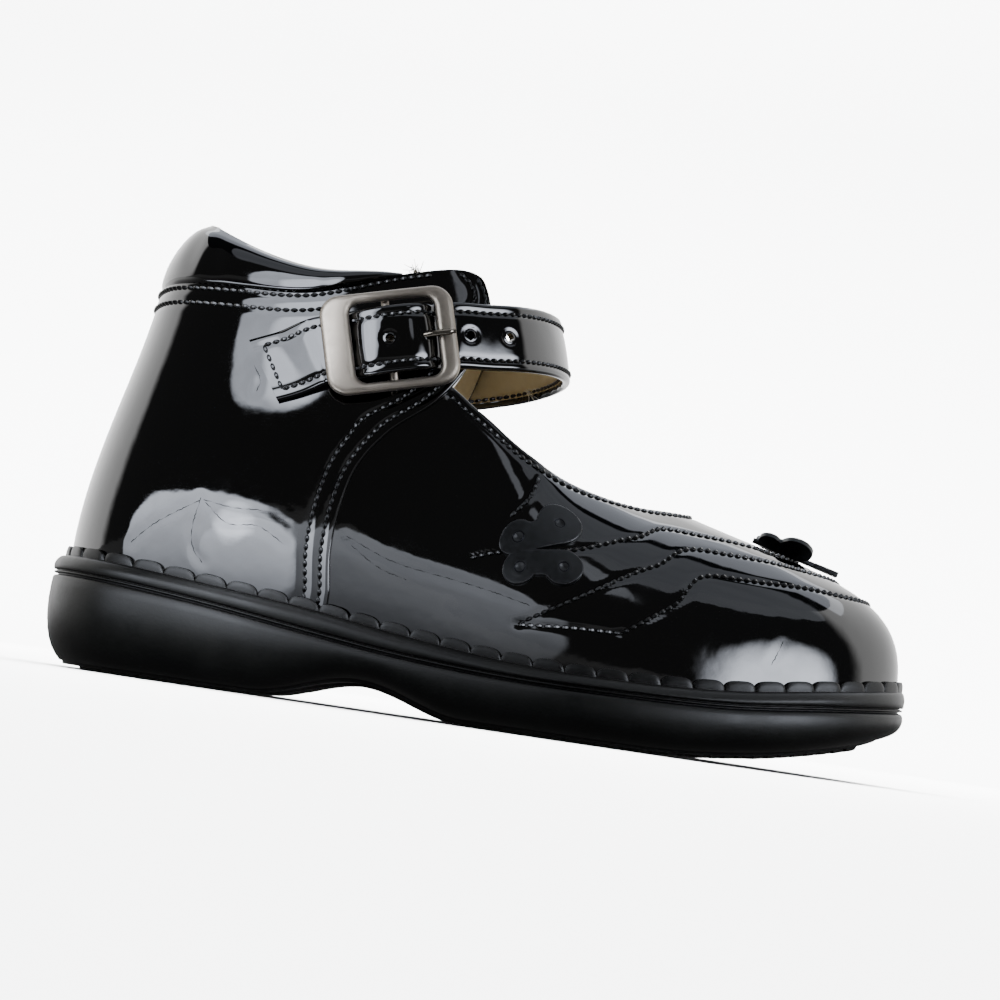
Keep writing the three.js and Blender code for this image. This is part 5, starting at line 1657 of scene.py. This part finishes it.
def painted_shadow_table(tree):
    """Painted shadow in the table's glow: dim where the shoe stands on it and on the near side,
    brighter a hand's width away.
    """
    coords = node(tree, "TexCoord").outputs["Object"]
    away = node(tree, "VectorMath", {"operation": "LENGTH"}, _0=coords)
    level = node(tree, "MapRange", {"interpolation_type": "SMOOTHSTEP", "From Min": 0.1,
                                    "From Max": 0.42, "To Min": 0.12, "To Max": 2.0},
                 _0=away.outputs["Value"])
    axes = node(tree, "SeparateXYZ", None, Vector=coords)
    near = node(tree, "MapRange", {"From Min": -0.12, "From Max": 0.0, "To Min": 0.12,
                                   "To Max": 1.0}, _0=axes.outputs[1])
    strength = node(tree, "Math", {"operation": "MULTIPLY"}, _0=level, _1=near)
    return {"Emission_Strength": strength}


def dim_wall(tree):
    """A painted reflection of the walls beside and behind the shoe, as a glow; the room on the
    near side is dark.
    """
    coords = node(tree, "TexCoord").outputs["Object"]
    way = node(tree, "VectorMath", {"operation": "NORMALIZE"}, _0=coords)
    axes = node(tree, "SeparateXYZ", None, Vector=way)
    behind = node(tree, "MapRange", {"interpolation_type": "SMOOTHSTEP", "From Min": -0.22,
                                     "From Max": -0.02, "To Min": 0.03, "To Max": 1.0},
                  _0=axes.outputs[1])
    rightward = node(tree, "MapRange", {"From Min": -0.9, "From Max": 0.7, "To Min": 3.0,
                                        "To Max": 2.0}, _0=axes.outputs[0])
    level = node(tree, "Math", {"operation": "MULTIPLY"}, _0=behind, _1=rightward)
    return {"Emission_Strength": level}


GLOW_BASE = {"Base Color": (0, 0, 0, 1), "Roughness": 1.0, "Emission Color": (1, 1, 1, 1)}
TABLE_HALF, TABLE_LIFT = 2.4, 0.0002
WALL_RADIUS, WALL_TALL, WALL_SIDES = 1.7, 1.9, 60
# The table as the gloss sees it: a glowing sheet with a painted shadow round the shoe.
gloss_only(stage_mesh("mirrored_table", [(sx * TABLE_HALF, sy * TABLE_HALF, TABLE_LIFT)
                                         for sx, sy in ((-1, -1), (1, -1), (1, 1), (-1, 1))],
                      [(0, 1, 2, 3)], place_material("painted_shadow_table", GLOW_BASE, painted_shadow_table)))
# The walls as the gloss sees them: a glowing ring, a painted reflection.
wall_points = [(WALL_RADIUS * math.sin(a), -WALL_RADIUS * math.cos(a), z)
               for a in np.arange(WALL_SIDES) * 2 * math.pi / WALL_SIDES for z in (0.0, WALL_TALL)]
gloss_only(stage_mesh("mirrored_walls", wall_points, [
    (2 * i, 2 * ((i + 1) % WALL_SIDES), 2 * ((i + 1) % WALL_SIDES) + 1, 2 * i + 1)
    for i in range(WALL_SIDES)], place_material("dim_walls", GLOW_BASE, dim_wall)))

world = bpy.data.worlds.new("studio")
world.use_nodes = True
background = world.node_tree.nodes["Background"]
background.inputs["Color"].default_value = linear("#8f9499")
background.inputs["Strength"].default_value = 0.10
bpy.context.scene.world = world

# ------------------------------------------------------------------------------ camera
# From the lateral side, a little above the table, and rolled so that the heel is up.
CAMERA_AT = (0.0014, -0.40406, 0.004)
AIM_AT = (0.0, 0.0, 0.0405)
ROLL = 8.4
camera_data = bpy.data.cameras.new("camera")
camera_data.sensor_width, camera_data.lens, camera_data.clip_start = 36, 81.9, 0.002
camera = bpy.data.objects.new("camera", camera_data)
camera.location = CAMERA_AT
aim = (Vector(AIM_AT) - Vector(CAMERA_AT)).to_track_quat("-Z", "Y")
camera.rotation_euler = (aim.to_matrix().to_4x4()
                         @ Matrix.Rotation(math.radians(ROLL), 4, "Z")).to_euler()
bpy.context.scene.collection.objects.link(camera)
bpy.context.scene.camera = camera
